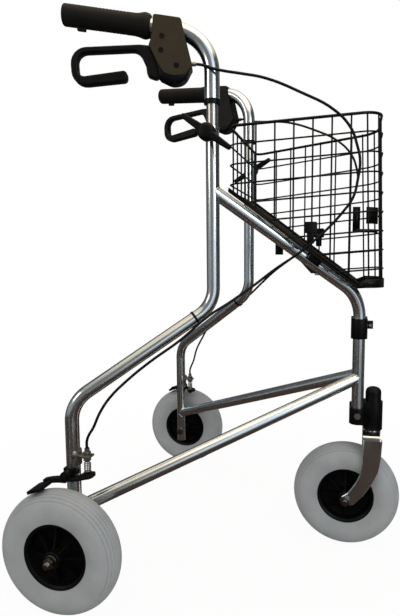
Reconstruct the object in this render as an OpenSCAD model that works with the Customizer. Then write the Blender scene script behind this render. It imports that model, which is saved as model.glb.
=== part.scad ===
// Folding three-wheel rollator: two mirrored side frames that turn about their front tubes in a plastic
// head, a swivelling front fork, loop brakes on height-adjustable handles, a wire basket and a brace.
// Millimetres, +X forward, +Z up, with the origin on the floor below the middle of the object.

/* [Wheels] */
// Diameter of each wheel over the tyre
wheel_d = 200; // [185:1:210]
// Width of each tyre
tyre_w = 50; // [40:1:54]
// Diameter of the rim that the tyre sits on
rim_d = 106; // [96:1:116]
// Half width of the rim
rim_half = 19; // [14:0.5:22]
// Half length of the boss of a rear hub
hub_half = 27; // [26:0.5:32]
// Diameter of the boss of a hub
boss_d = 28; // [22:1:36]
// Number of ribs on each face of a hub
hub_ribs = 8; // [5:1:10]
// Thickness of a hub's ribs
rib_t = 2.5; // [1.5:0.5:4]
// Diameter of the axle bolts
axle_d = 10; // [8:0.5:12]
// Length of the spacer between the rear leg and the hub
spacer_l = 4.8; // [3:0.1:12]

/* [Side frames] */
// Angle of each side frame to the middle plane when open
open_angle = 28.4; // [26:0.1:30]
// Half the distance between the two hinge tubes
hinge_half = 15; // [14:0.5:18]
// Diameter of the frame tubes
tube_d = 22.2; // [20:0.1:23]
// Wall of the frame tubes
tube_wall = 1.2; // [1:0.1:1.6]
// Distance of the upright from the hinge tube, along the frame
upright_at = 275; // [265:1:290]
// Distance of the rear leg from the hinge tube, along the frame
leg_at = 509; // [490:1:530]
// Height of the top of the upright
upright_top = 767; // [755:1:775]
// Height at which the upright's line meets the rear diagonal
upper_corner = 475; // [455:1:490]
// Height at which the rear diagonal meets the rear leg's line
lower_corner = 325; // [310:1:340]
// Height of the lower end of the rear leg
leg_bottom = 74; // [60:1:82]
// Bend radius of the main tube
main_bend = 55; // [45:1:70]
// Height at which the upper diagonal meets the upright
rail_high = 665.5; // [650:0.5:675]
// Height at which the upper diagonal meets the hinge tube's line
rail_low = 483; // [475:1:490]
// Bend radius of the front tube
front_bend = 70; // [55:1:80]
// Height of the lower bar at the rear leg
bar_rear = 146; // [138:1:160]
// Height of the lower bar at the hinge tube
bar_front = 332; // [325:1:345]

/* [Head and caster] */
// Wall of the plastic sockets around the hinge tubes
socket_wall = 3.6; // [3:0.1:5]
// Height of the lower edge of the collar
collar_low = 406; // [395:1:415]
// Height of the collar
collar_h = 37; // [28:1:40]
// Height of the lower face of the head block
block_low = 245; // [241:1:250]
// Height of the head block's sockets
block_h = 30; // [26:1:38]
// Thickness of the floor under the hinge tubes
socket_floor = 4; // [3:0.5:8]
// Distance of the caster's axis ahead of the hinge tubes
caster_ahead = 29; // [27:0.5:34]
// Diameter of the caster housing
caster_d = 35; // [33:0.5:40]
// Height of the lower face of the caster housing
caster_low = 232; // [228:1:238]
// Height of the caster housing below its cap
caster_h = 53; // [48:1:58]
// Height of the domed cap on the caster housing
cap_h = 27; // [22:1:34]
// Diameter of the caster stem
stem_d = 12; // [10:0.5:13]
// Outer diameter of the caster bearings
bearing_d = 26; // [24:0.5:28]
// Width of the caster bearings
bearing_w = 8; // [6:0.5:9]
// Trail of the front wheel behind the caster's axis
trail = 48; // [40:1:56]
// Inside width of the fork
fork_in = 62; // [58:1:68]
// Thickness of the fork's legs
fork_t = 5; // [3:0.5:6]
// Thickness of the fork's crown
crown_t = 8; // [5:0.5:12]
// Width of the fork's legs at the crown
fork_w = 34; // [30:1:38]

/* [Handles] */
// Outer diameter of the handle posts
post_d = 19.2; // [17:0.1:19.2]
// Wall of the handle posts
post_wall = 1.5; // [1:0.1:2.5]
// Height of the lower end of the handle posts
post_low = 600; // [590:1:640]
// Height of the upper end of the handle posts
post_high = 845; // [835:1:848]
// Outer diameter of the handle tubes
handle_d = 25; // [24:0.1:26]
// Wall of the handle tubes
handle_wall = 1.5; // [1:0.1:1.8]
// Height of the lower end of the handle tubes
handle_low = 810; // [806:1:816]
// Height at which the handle's line meets the post's line
handle_corner = 910.5; // [905:0.5:914]
// Bend radius of the handle tubes
handle_bend = 65; // [58:1:68]
// Angle at which the handles splay outwards
splay = 15; // [8:0.5:20]
// Angle at which the handles rise to the rear
rise = 6.9; // [3:0.1:9]
// Distance from the post's line to the front of the grip
grip_from = 97.5; // [96.5:0.5:106]
// Length of the grips
grip_l = 138; // [126:1:142]
// Diameter of the grips
grip_d = 33; // [31:0.5:36]
// Diameter of the flare at the front of the grips
flare_d = 39; // [37:0.5:42]
// Height of the clamp knob
knob_z = 752; // [740:1:755]
// Length of the wing knob from tip to tip
knob_l = 96; // [80:1:104]
// Diameter of the wing knob's middle
knob_d = 28; // [24:1:34]
// Diameter of the clamp screw
screw_d = 8; // [6:0.5:10]
// Length of the welded boss that the clamp screw runs in
screw_boss = 13; // [10:0.5:16]

/* [Hand brakes] */
// Thickness of the brake housings
housing_t = 30; // [29:0.5:34]
// Distance of the lever's pivot behind the post's line
pivot_back = 80; // [78:0.5:82]
// Height of the lever's pivot
pivot_z = 881; // [879:0.5:883]
// Diameter of the lever's pivot pin
pin_d = 6; // [5:0.5:7]
// Width of the brake levers
lever_w = 16; // [12:0.5:17]
// Reach of the lever's loop from its pivot
lever_reach = 145; // [138:1:150]
// Height of the lever's loop
loop_h = 60; // [54:1:64]
// Thickness of the lever's upper arm
arm_t = 9; // [7:0.5:11]
// Thickness of the lever's lower arm
tail_t = 15; // [10:0.5:17]
// Angle at which the lever droops to the rear
droop = 3; // [1:0.5:4]

/* [Wheel brakes] */
// Height of the bracket plate on the rear leg
bracket_z = 239; // [234:1:246]
// Distance of the cable adjuster ahead of the rear leg
adjuster_x = 25; // [22:0.5:28]
// Height of the brake arm's pivot
arm_z = 213; // [210:0.5:216]
// Gap between the brake shoe and the tyre
shoe_gap = 3.6; // [3:0.1:6]
// Width of the brake shoe
shoe_w = 32; // [28:1:38]
// Thickness of the brake shoe
shoe_t = 5; // [3:0.5:8]
// Diameter of the brake cable
cable_d = 4.5; // [3.5:0.1:4.9]
// Wire of the return spring
spring_wire = 1.6; // [1:0.1:1.8]
// Number of curls of the return spring
spring_curls = 6; // [4:1:8]

/* [Basket] */
// Thickness of the basket's wires
wire = 3; // [2:0.1:3.4]
// Thickness of the basket's top rim
rim_wire = 5; // [3:0.5:7]
// Gap between the upright and the rear of the basket
basket_gap = 8.5; // [4:0.5:14]
// Half the width of the basket at the rear
basket_rear_half = 125; // [118:1:130]
// Half the width of the basket at the front
basket_front_half = 78; // [76:1:84]
// Distance of the basket's front ahead of the hinge tubes
basket_ahead = 31; // [26:1:36]
// Height of the rim at the rear
rim_rear = 776; // [765:1:790]
// Height of the rim at the front
rim_front = 797; // [785:1:810]
// Distance of the front's foot ahead of its rim
front_lean = 9; // [0:0.5:12]
// Height of the closed band along the foot of the sides and front
foot_band = 14; // [8:1:18]
// Distance between the wires across the grid
mesh_x = 31.5; // [26:0.5:40]
// Distance between the rows of the grid
mesh_z = 32.6; // [26:0.1:40]
// Gap between the upper diagonals and the basket's floor
floor_gap = 1.5; // [1:0.1:4]

/* [Brace] */
// Distance of the brace lugs from the hinge tubes, along the frame
lug_at = 76; // [73:1:80]
// Width of the brace links
link_w = 12; // [10:0.5:12.5]
// Thickness of the brace links
link_t = 5; // [4:0.5:6]
// Rise of the brace links from the lug to the plate
link_rise = 58; // [52:1:62]
// Diameter of the brace pins
brace_pin = 7; // [5:0.5:7.5]

/* [Hidden] */
$fn = 48;
right = 1;
left = -1;
// Gaps: between welded tubes, on running pins, in hinge sockets, and between pieces laid side by side
weld_gap = 0.05;
run_gap = 0.1;
hinge_gap = 0.3;
lay_gap = 0.1;

wheel_r = wheel_d / 2;
tube_r = tube_d / 2;
axle_r = axle_d / 2;
post_r = post_d / 2;
screw_r = screw_d / 2;
socket_r = tube_r + hinge_gap + socket_wall;
hinge_x = (leg_at * cos(open_angle) + trail - caster_ahead) / 2;
leg_x = hinge_x - leg_at * cos(open_angle);
leg_y = -hinge_half - leg_at * sin(open_angle);
upright_x = hinge_x - upright_at * cos(open_angle);
upright_y = -hinge_half - upright_at * sin(open_angle);
wheel_y = leg_y - tube_r - spacer_l - hub_half;
stem_x = hinge_x + caster_ahead;
front_x = stem_x - trail;
crown_top = caster_low - 4;
rail_slope = (rail_high - rail_low) / upright_at;
front_bottom = block_low + socket_floor + hinge_gap;

// Corners of the bent tubes: distance from the hinge tube along the frame, and height
main_path = [[upright_at, upright_top], [upright_at, upper_corner], [leg_at, lower_corner], [leg_at, leg_bottom]];
front_path = [[upright_at, rail_high], [0, rail_low], [0, front_bottom]];
bar_path = [[leg_at, bar_rear], [0, bar_front]];
handle_end = grip_from + grip_l - 6;

// Routes of the brake cables: ahead of the hinge tubes, away from the middle plane with a minus sign, and height.
// The left one lies closer along its tube.
right_route = [
    [-262.9, -162.8, 861.5], [-258, -161.5, 861], [-248, -162.5, 858], [-236, -162.5, 853],
    [-216, -158.5, 848.5], [-194, -154, 845], [-155, -144, 838],
    [-101, -130, 817], [-47, -116, 789], [-21, -110, 761], [-11, -106, 735], [-6, -103, 712],
    [-9, -100, 681], [-16, -98, 653], [-32, -98, 630], [-61, -104, 598], [-80, -109, 581],
    [-102, -111, 563], [-144, -116, 534], [-179, -131, 506], [-213, -148, 481], [-245, -166, 459],
    [-288, -187, 420], [-333, -209, 386], [-364, -226, 359], [-388, -241, 333], [-402, -249, 310],
    [-412, -255, 285], [-419.5, -257, 272], [-422.7, -257.1, 262], [-422.7, -257.1, 252.2]
];
left_route = [
    [-262.9, -162.8, 861.5], [-258, -161.5, 861], [-248, -162.5, 859], [-236, -162.5, 855.5],
    [-216, -158.5, 852.5], [-194, -154, 850], [-155, -144, 843],
    [-101, -130, 822], [-47, -116, 791], [-21, -110, 762], [-11, -106, 736], [-8, -101, 711],
    [-17, -101, 676], [-36, -103, 647], [-73, -109, 608], [-98, -114, 587], [-126, -118, 565],
    [-160, -127, 541], [-182, -135, 525], [-213, -150, 498], [-245, -167, 469], [-288, -187, 436],
    [-333, -211, 404], [-364, -229, 379], [-384, -241, 350], [-402, -249.5, 318], [-412, -255, 288],
    [-419.5, -257, 272], [-422.7, -257.1, 262], [-422.7, -257.1, 252.2]
];

// Outlines, paths and tubes

function unit(v) = v / norm(v);
function turned(v) = [-v[1], v[0]];
function heading(v) = atan2(v[1], v[0]);

// Points of an outline whose corners [x, y, radius] are rounded by arcs
function corner_arc(a, b, c, radius, steps) =
    let (
        u = unit(a - b),
        v = unit(c - b),
        half = acos(u * v) / 2,
        middle = b + unit(u + v) * radius / sin(half),
        from = heading(b + u * radius / tan(half) - middle),
        bend = heading(b + v * radius / tan(half) - middle) - from,
        sweep = bend > 180 ? bend - 360 : bend < -180 ? bend + 360 : bend
    )
    [for (i = [0:steps]) middle + radius * [cos(from + sweep * i / steps), sin(from + sweep * i / steps)]];
function flat(p) = [p[0], p[1]];
function rounded(corners, steps = 6) =
    let (n = len(corners))
    [for (i = [0:n - 1])
        let (a = corners[(i + n - 1) % n], b = corners[i], c = corners[(i + 1) % n])
        each b[2] > 0 ? corner_arc(flat(a), flat(b), flat(c), b[2], steps) : [flat(b)]];

// How far a bend of the given radius takes up the lines on either side of its corner
function setback(a, b, c, bend) = bend * tan(acos(unit(b - a) * unit(c - b)) / 2);

// One bend of a tube, round the corner b between the lines a-b and b-c
module elbow(a, b, c, bend, d) {
    u = unit(b - a);
    v = unit(c - b);
    way = u[0] * v[1] - u[1] * v[0] > 0 ? 1 : -1;
    take = setback(a, b, c, bend);
    enter = b - u * take;
    leave = b + v * take;
    middle = enter + way * bend * turned(u);
    translate([middle[0], middle[1], 0])
        rotate([0, 0, heading((way > 0 ? enter : leave) - middle)])
            rotate_extrude(angle = acos(u * v))
                translate([bend, 0]) circle(d = d);
}

// A round bar along a path in the XY plane, bent at its corners
module run(path, bend, d) {
    last = len(path) - 1;
    for (i = [0:last - 1]) {
        way = unit(path[i + 1] - path[i]);
        skip = i == 0 ? 0 : setback(path[i - 1], path[i], path[i + 1], bend);
        stop = i == last - 1 ? 0 : setback(path[i], path[i + 1], path[i + 2], bend);
        start = path[i] + way * skip;
        translate([start[0], start[1], 0])
            rotate([0, 0, heading(way)])
                rotate([0, 90, 0]) cylinder(h = norm(path[i + 1] - path[i]) - skip - stop, d = d);
    }
    if (last > 1) {
        for (i = [1:last - 1]) elbow(path[i - 1], path[i], path[i + 1], bend, d);
    }
}

// The same path with both ends drawn out, for boring
function drawn_out(path, by = 5) =
    let (last = len(path) - 1)
    [for (i = [0:last])
        i == 0 ? path[0] + by * unit(path[0] - path[1])
        : i == last ? path[last] + by * unit(path[last] - path[last - 1])
        : path[i]];

// A round tube swept along points in space, with one ring of sides at each point
function side_of(way) = unit(abs(way[2]) < 0.9 ? cross(way, [0, 0, 1]) : cross(way, [1, 0, 0]));
function way_at(points, i) =
    unit(points[min(i + 1, len(points) - 1)] - points[max(i - 1, 0)]);
// Each ring's first side is carried along from the ring before, so that the tube isn't twisted
function carried(points, i, before) =
    let (way = way_at(points, i), side = before - (before * way) * way)
    i == len(points) - 1 ? [unit(side)] : concat([unit(side)], carried(points, i + 1, unit(side)));
module swept(points, d, sides) {
    count = len(points);
    first = carried(points, 0, side_of(way_at(points, 0)));
    rings = [for (i = [0:count - 1]) for (k = [0:sides - 1])
        let (across = cross(way_at(points, i), first[i]), a = 360 * k / sides)
        points[i] + d / 2 * (cos(a) * first[i] + sin(a) * across)];
    walls = [for (i = [0:count - 2]) for (k = [0:sides - 1])
        let (p = i * sides + k, q = i * sides + (k + 1) % sides)
        each [[p, q, q + sides], [p, q + sides, p + sides]]];
    caps = [for (k = [1:sides - 2])
        let (top = (count - 1) * sides)
        each [[0, k + 1, k], [top, top + k, top + k + 1]]];
    polyhedron(rings, [for (f = concat(walls, caps)) [f[0], f[2], f[1]]]);
}

// A smooth curve through points, with a number of steps between each two
function smooth_at(a, b, c, d, t) =
    0.5 * (2 * b + (c - a) * t + (2 * a - 5 * b + 4 * c - d) * t * t + (3 * b - a - 3 * c + d) * t * t * t);
function smooth(points, steps) =
    let (last = len(points) - 1)
    concat(
        [for (i = [0:last - 1]) for (k = [0:steps - 1])
            smooth_at(points[max(i - 1, 0)], points[i], points[i + 1], points[min(i + 2, last)], k / steps)],
        [points[last]]
    );

// Places

module handed(side) {
    if (side == right) children();
    else mirror([0, 1, 0]) children();
}

// Along a side frame: X from the hinge tube to the rear, Y outwards
module on_frame(side) handed(side)
    translate([hinge_x, -hinge_half, 0]) rotate([0, 0, 180 + open_angle]) children();
module frame_plane(side) on_frame(side) rotate([90, 0, 0]) children();
module at_upright(side) handed(side) translate([upright_x, upright_y, 0]) children();
module at_leg(side) handed(side) translate([leg_x, leg_y, 0]) children();
// Behind the post along the handle: X to the rear, Y outwards
module at_handle(side) at_upright(side) rotate([0, 0, 180 + splay]) children();
module handle_plane(side) at_handle(side) rotate([90, 0, 0]) children();
module along_grip(side) at_handle(side) translate([0, 0, handle_corner]) rotate([0, 90 - rise, 0]) children();
// The clamp screw's line: Z outwards from the upright's axis
module clamp_line(side) at_upright(side) translate([0, 0, knob_z]) rotate([90, 0, 0]) children();
// A rear wheel's axle line: Z outwards from the leg's axis
module axle_line(side) at_leg(side) translate([0, 0, wheel_r]) rotate([90, 0, 0]) children();

// Side frames

module main_tube(side) color("silver") difference() {
    union() {
        frame_plane(side) run(main_path, main_bend, tube_d);
        clamp_line(side) cylinder(h = tube_r + screw_boss, r = screw_r + 5);
    }
    frame_plane(side) run(drawn_out(main_path), main_bend, tube_d - 2 * tube_wall);
    clamp_line(side) cylinder(h = tube_r + screw_boss + 1, r = screw_r + run_gap);
    axle_line(side) translate([0, 0, -tube_r - 1]) cylinder(h = tube_d + 2, r = axle_r + weld_gap);
}

// A lug stands in from the tube, with the brace link hung below it on a headed pin
lug_mid = rail_low + rail_slope * lug_at;
lug_t = 4;
lug_low = lug_mid - lug_t / 2;
lug_off = tube_r + link_w / 2 + 2;
link_l = norm([lug_at, lug_off]);
lug_turn = atan(lug_off / lug_at);
link_low = lug_low - link_t - hinge_gap;
pin_r = brace_pin / 2;
pin_head = 3;

module front_tube(side) color("silver") difference() {
    union() {
        frame_plane(side) run(front_path, front_bend, tube_d);
        on_frame(side) translate([lug_at, -lug_off, 0]) {
            translate([0, 0, lug_low]) cylinder(h = lug_t, r = link_w / 2);
            translate([-link_w / 2, 0, lug_low]) cube([link_w, lug_off, lug_t]);
            translate([0, 0, link_low - hinge_gap - 1]) cylinder(h = lug_low - link_low + hinge_gap + 2, r = pin_r);
            translate([0, 0, link_low - hinge_gap - pin_head]) cylinder(h = pin_head, r = pin_r + 2);
        }
    }
    frame_plane(side) run(drawn_out(front_path), front_bend, tube_d - 2 * tube_wall);
    on_frame(side) translate([upright_at, 0, rail_high - 100]) cylinder(h = 200, r = tube_r + weld_gap);
}

module lower_bar(side) color("silver") difference() {
    frame_plane(side) run(bar_path, 0, tube_d);
    frame_plane(side) run(drawn_out(bar_path), 0, tube_d - 2 * tube_wall);
    for (at = [0, leg_at]) on_frame(side) translate([at, 0, 0]) cylinder(h = upright_top, r = tube_r + weld_gap);
}

// Wheels

rim_r = rim_d / 2;
tyre_half = tyre_w / 2;
tyre_mid = wheel_r - tyre_half;
side_half = rim_half - 0.5;
axle_washer = 2;
axle_nut = 8;
axle_tip = 6;

// Section of a tyre: a round tread, and side walls that ease in to the rim
function wall_at(t) =
    [tyre_mid + (rim_r + weld_gap - tyre_mid) * t, side_half + (tyre_half - side_half) * cos(90 * t)];
tread = [for (a = [-80:10:80]) [tyre_mid + tyre_half * cos(a), tyre_half * sin(a)]];
upper_wall = [for (t = [0:0.25:1]) wall_at(t)];
lower_wall = [for (t = [1:-0.25:0]) [wall_at(t)[0], -wall_at(t)[1]]];

module tyre_ring() rotate_extrude($fn = 96) polygon(concat(tread, upper_wall, lower_wall));

module hub_wheel(half) difference() {
    union() {
        cylinder(h = 2 * half, d = boss_d, center = true);
        cylinder(h = 6, r = rim_r - 2, center = true);
        difference() {
            cylinder(h = 2 * rim_half, r = rim_r, center = true);
            cylinder(h = 2 * rim_half + 2, r = rim_r - 6, center = true);
        }
        for (i = [0:hub_ribs - 1])
            rotate([0, 0, 360 * i / hub_ribs])
                translate([boss_d / 2 - 1, -rib_t / 2, -rim_half + 5])
                    cube([rim_r - boss_d / 2 - 3, rib_t, 2 * rim_half - 10]);
    }
    cylinder(h = 2 * half + 2, r = axle_r + run_gap, center = true);
}

module tyre(side) color("darkgray") axle_line(side) translate([0, 0, leg_y - wheel_y]) tyre_ring();
module hub(side) color("#202020") axle_line(side) translate([0, 0, leg_y - wheel_y]) hub_wheel(hub_half);

module hex(across, h) cylinder(h = h, d = across / cos(30), $fn = 6);
module ring(outer, inner, h) difference() {
    cylinder(h = h, r = outer);
    translate([0, 0, -1]) cylinder(h = h + 2, r = inner);
}
module nut(across, inner, h) difference() {
    hex(across, h);
    translate([0, 0, -1]) cylinder(h = h + 2, r = inner);
}

// Bolt through the rear leg, spacer, washer and nut
hub_out = tube_r + spacer_l + 2 * hub_half;
module rear_axle(side) color("gray") axle_line(side) {
    translate([0, 0, -tube_r - lay_gap])
        cylinder(h = hub_out + axle_washer + axle_nut + axle_tip + tube_r + lay_gap, r = axle_r);
    translate([0, 0, -tube_r - lay_gap - 6]) hex(16, 6);
    translate([0, 0, tube_r + lay_gap]) ring(axle_r + 3, axle_r + weld_gap, spacer_l - 2 * hinge_gap);
    translate([0, 0, hub_out + hinge_gap]) ring(axle_r + 5, axle_r + weld_gap, axle_washer);
    translate([0, 0, hub_out + hinge_gap + axle_washer + weld_gap]) nut(16, axle_r + weld_gap, axle_nut - 1);
}

// Wheel brakes

saddle_h = 23;
plate_t = 3;
plate_reach = adjuster_x + 8;
arm_pin = 3;
lug_out = tube_r + hinge_gap + 4;
eye_in = lug_out + hinge_gap;
eye_out = eye_in + 12;
arm_top = arm_z - 2;
arm_plate = 5;
sleeve_r = 4;
sleeve_low = bracket_z - 9;
sleeve_high = 252;

// Saddle on the leg's front with the cable's shelf, and below it the block with the arm's pin
module brake_bracket(side) color("gray") at_leg(side) {
    difference() {
        union() {
            intersection() {
                translate([0, 0, bracket_z - saddle_h + 8]) cylinder(h = saddle_h, r = tube_r + 2.5);
                translate([6, -20, bracket_z - saddle_h]) cube([20, 40, saddle_h + 10]);
            }
            translate([tube_r, -8, bracket_z - plate_t / 2]) cube([plate_reach - tube_r, 16, plate_t]);
            translate([8.5, -tube_r - 0.2, bracket_z + 2]) rotate([90, 0, 0]) cylinder(h = 2.4, r = 4);
        }
        translate([0, 0, bracket_z - 30]) cylinder(h = 60, r = tube_r + weld_gap);
        translate([adjuster_x, 0, bracket_z - 5]) cylinder(h = 10, r = sleeve_r + run_gap);
    }
    difference() {
        translate([-9, -lug_out, arm_z - 8]) cube([18, lug_out - 4, 17]);
        translate([0, 0, arm_z - 20]) cylinder(h = 40, r = tube_r + weld_gap);
    }
    translate([0, -lug_out, arm_z]) rotate([90, 0, 0]) cylinder(h = eye_out - lug_out + hinge_gap, r = arm_pin);
    translate([0, -eye_out - hinge_gap, arm_z]) rotate([90, 0, 0]) cylinder(h = 2, r = arm_pin + 2);
}

module cable_adjuster(side) color("silver") at_leg(side) translate([adjuster_x, 0, 0]) {
    translate([0, 0, sleeve_low]) cylinder(h = sleeve_high - sleeve_low, r = sleeve_r);
    for (z = [bracket_z + plate_t / 2 + weld_gap, bracket_z - plate_t / 2 - weld_gap - 5])
        translate([0, 0, z]) nut(12, sleeve_r + weld_gap, 5);
    translate([0, 0, arm_top - arm_plate - 7]) cylinder(h = sleeve_low - arm_top + arm_plate + 7, r = 0.8);
}

// Return spring between the arm and the adjuster
spring_d = 10;
spring_low = arm_top + hinge_gap + spring_wire / 2;
spring_high = sleeve_low - hinge_gap - spring_wire / 2;
spring_pitch = (spring_high - spring_low) / spring_curls;
spring_points = [for (i = [0:8 * spring_curls])
    [spring_d / 2 * cos(45 * i), spring_d / 2 * sin(45 * i), spring_low + spring_pitch * i / 8]];
spring_gap = min([for (i = [0:8 * (spring_curls - 1)]) for (k = [6:10])
    i + k <= 8 * spring_curls ? norm(spring_points[i + k] - spring_points[i]) : spring_d]) - spring_wire;
echo(least_gap_between_spring_curls = spring_gap);
module brake_spring(side) color("silver") at_leg(side)
    translate([adjuster_x, 0, 0]) swept(spring_points, spring_wire, 6);

// Part of a band round the wheel's axle, between two angles and two distances out from the leg
module band(inner, t, out_a, out_b, from, to)
    translate([0, 0, out_a]) rotate([0, 0, from]) rotate_extrude(angle = to - from, $fn = 96)
        translate([inner, 0]) square([t, out_b - out_a]);

shoe_r = wheel_r + shoe_gap;
wheel_out = leg_y - wheel_y;
crank = [
    [-7, -eye_out + 0.6, 2], [14, -eye_out + 0.6, 8], [adjuster_x + 12, -10, 10], [adjuster_x + 12, 7, 5],
    [adjuster_x - 6, 7, 4], [tube_r + 5, -14, 4], [10, -eye_in - 0.6, 2], [-7, -eye_in - 0.6, 2]
];
module brake_arm(side) color("#202020") difference() {
    union() {
        at_leg(side) translate([0, -eye_in, arm_z]) rotate([90, 0, 0]) cylinder(h = eye_out - eye_in, r = 8);
        at_leg(side) translate([0, 0, arm_top - arm_plate])
            linear_extrude(arm_plate) polygon(rounded(crank));
        at_leg(side) translate([adjuster_x, 0, arm_top - arm_plate - 4]) cylinder(h = 5, r = 4.5);
        axle_line(side) band(shoe_r + 1, 8, eye_out - 6.4, eye_out + 3, 88, 109);
        axle_line(side) band(shoe_r, shoe_t, wheel_out - shoe_w / 2, wheel_out + shoe_w / 2, 102, 115);
    }
    at_leg(side) translate([0, -eye_in + 1, arm_z]) rotate([90, 0, 0]) cylinder(h = eye_out, r = arm_pin + run_gap);
    at_leg(side) translate([0, -eye_out, arm_z]) rotate([90, 0, 0]) cylinder(h = 20, r = arm_pin + 2.5);
    at_leg(side) translate([adjuster_x, 0, arm_top - 20]) cylinder(h = 30, r = 2.5);
}

function cable_points(side) =
    [for (p = smooth(side == right ? right_route : left_route, 3)) p + [hinge_x, 0, 0]];
module brake_cable(side) color("#202020") handed(side) swept(cable_points(side), cable_d, 8);

// Tie round the main tube just below its upper bend
tie_along = 36;
tie_w = 4;
diagonal = unit(main_path[2] - main_path[1]);
tie_at = main_path[1] + tie_along * diagonal;
module cable_tie(side) color("#202020") frame_plane(side) translate([tie_at[0], tie_at[1], 0])
    rotate([0, 0, heading(diagonal)]) rotate([0, 90, 0]) ring(tube_r + 1.2, tube_r + weld_gap, tie_w);

// Handles

ring_flange = 7;
ring_l = 30;
module handle_post(side) color("darkgray") at_upright(side) translate([0, 0, post_low])
    ring(post_r, post_r - post_wall, post_high - post_low);

module handle_ring(side) color("#202020") at_upright(side) difference() {
    union() {
        translate([0, 0, handle_low - ring_flange]) cylinder(h = ring_flange - weld_gap, d = handle_d + 2);
        translate([0, 0, handle_low - ring_flange])
            cylinder(h = ring_flange + ring_l, r = handle_d / 2 - handle_wall - weld_gap);
    }
    translate([0, 0, handle_low - ring_flange - 1]) cylinder(h = ring_flange + ring_l + 2, r = post_r + weld_gap);
}

// A section carried along the handle's straight ends and its bend, which swells by a hair as bent tubes do
bend_turn = 90 - rise;
bend_take = handle_bend * tan(bend_turn / 2);
bend_swell = 1.002;
module handle_bar(more) translate([handle_bend, handle_corner - bend_take, 0]) rotate([0, 0, 180 - bend_turn]) {
    rotate_extrude(angle = bend_turn) translate([handle_bend, 0]) scale(bend_swell) children();
    translate([handle_bend, 0, 0]) rotate([90, 0, 0]) linear_extrude(handle_end - bend_take + more) children();
    rotate([0, 0, bend_turn]) translate([handle_bend, 0, 0]) rotate([-90, 0, 0])
        linear_extrude(handle_corner - bend_take - handle_low + more) children();
}
module handle_tube(side) color("silver") handle_plane(side) handle_bar(0) difference() {
    circle(d = handle_d);
    circle(d = handle_d - 2 * handle_wall);
}

// Section of a grip: bore, flare, barrel and closed round end
grip_r = grip_d / 2;
bore_r = handle_d / 2 + weld_gap;
grip_end = grip_from + grip_l;
grip_section = [
    [bore_r, grip_from, 0], [flare_d / 2 - 3, grip_from, 1.5], [flare_d / 2, grip_from + 6, 4],
    [flare_d / 2, grip_from + 11, 3], [grip_r, grip_from + 24, 10], [grip_r, grip_end, 7], [0, grip_end, 0],
    [0, handle_end + hinge_gap, 0], [bore_r, handle_end + hinge_gap, 0]
];
tab_at = 101;
module grip(side) color("#202020") along_grip(side) {
    difference() {
        union() {
            rotate_extrude() polygon(rounded(grip_section));
            translate([0, -3, grip_from + tab_at]) cube([grip_r + 5, 6, 14]);
        }
        translate([0, 0, grip_from - 1]) cylinder(h = handle_end + hinge_gap - grip_from + 1, r = bore_r);
    }
}

// Hand brakes, drawn behind the post's line and by height
lever_gap = 0.4;
housing_outline = [
    [48, 931, 5], [92, 936.5, 4], [95, 903, 8], [100, 890, 3], [88, 862, 16], [85, 841, 6],
    [64, 831, 16], [43, 834, 10], [31, 860, 8], [41, 900, 20]
];
slot_outline = [[62, 820, 0], [66, 872, 8], [68, 896, 6], [120, 898, 0], [120, 820, 0]];
screw_places = [[78, 902.2], [pivot_back, pivot_z], [56, 858]];
screw_head = 4;
screw_sink = 2;
ferrule_at = [30, 861.5];
ferrule_out = 11;
ferrule_r = 3.4;

module housing_screw(place, r) translate([place[0], place[1], -housing_t / 2 - 1]) cylinder(h = housing_t + 2, r = r);

module brake_housing(side) color("#2b2622") handle_plane(side) difference() {
    linear_extrude(housing_t, center = true) polygon(rounded(housing_outline));
    handle_bar(5) circle(d = handle_d + 2 * weld_gap);
    linear_extrude(lever_w + 2 * lever_gap, center = true) polygon(rounded(slot_outline));
    for (place = screw_places) {
        housing_screw(place, pin_d / 2 + weld_gap);
        translate([place[0], place[1], -housing_t / 2 - 1]) cylinder(h = screw_sink + 1, r = screw_head + 0.3);
    }
    translate([ferrule_at[0] - 5, ferrule_at[1], -ferrule_out])
        rotate([0, 90, 0]) cylinder(h = 17, r = ferrule_r + weld_gap);
}

// Two housing screws, the lever's pin and the cable's ferrule
module housing_fittings(side) color("gray") handle_plane(side) {
    for (place = screw_places) {
        translate([place[0], place[1], -housing_t / 2 + screw_sink - 1.5]) cylinder(h = 1.5, r = screw_head);
        translate([place[0], place[1], -housing_t / 2 + screw_sink - 1.5]) cylinder(h = housing_t - 1, r = pin_d / 2);
    }
    translate([ferrule_at[0] - 5, ferrule_at[1], -ferrule_out]) rotate([0, 90, 0]) cylinder(h = 16, r = ferrule_r);
}

// Lever: a root on the pivot, an upper arm, and a loop that turns back below it
loop_from = 57;
arm_high = 13.5;
loop_low = arm_high - loop_h;
loop_t = 11;
tail_rise = 7;
root_outline = [
    [-9, 6, 3], [2, 9, 3], [34, arm_high, 4], [62, arm_high, 0], [62, arm_high - arm_t, 0], [36, arm_high - arm_t, 16],
    [26, -20, 12], [25, -35, 7], [12, -40, 6], [-5, -33, 6]
];
loop_outline = [
    [loop_from, arm_high, 0], [lever_reach, arm_high, 26], [lever_reach, loop_low, 22],
    [loop_from, loop_low + tail_rise - 2, 7], [loop_from, loop_low + tail_t + tail_rise, 6],
    [lever_reach - loop_t, loop_low + tail_t, 9], [lever_reach - loop_t, arm_high - arm_t, 15],
    [loop_from, arm_high - arm_t, 0]
];
module brake_lever(side) color("#202020") handle_plane(side) translate([pivot_back, pivot_z, 0]) difference() {
    rotate([0, 0, -droop]) linear_extrude(lever_w, center = true) {
        polygon(rounded(root_outline));
        polygon(rounded(loop_outline));
    }
    cylinder(h = lever_w + 2, r = pin_d / 2 + run_gap, center = true);
}

// Clamp knobs

knob_in = tube_r + screw_boss + 1;
knob_t = 16;
wing_t = 10;
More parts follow.
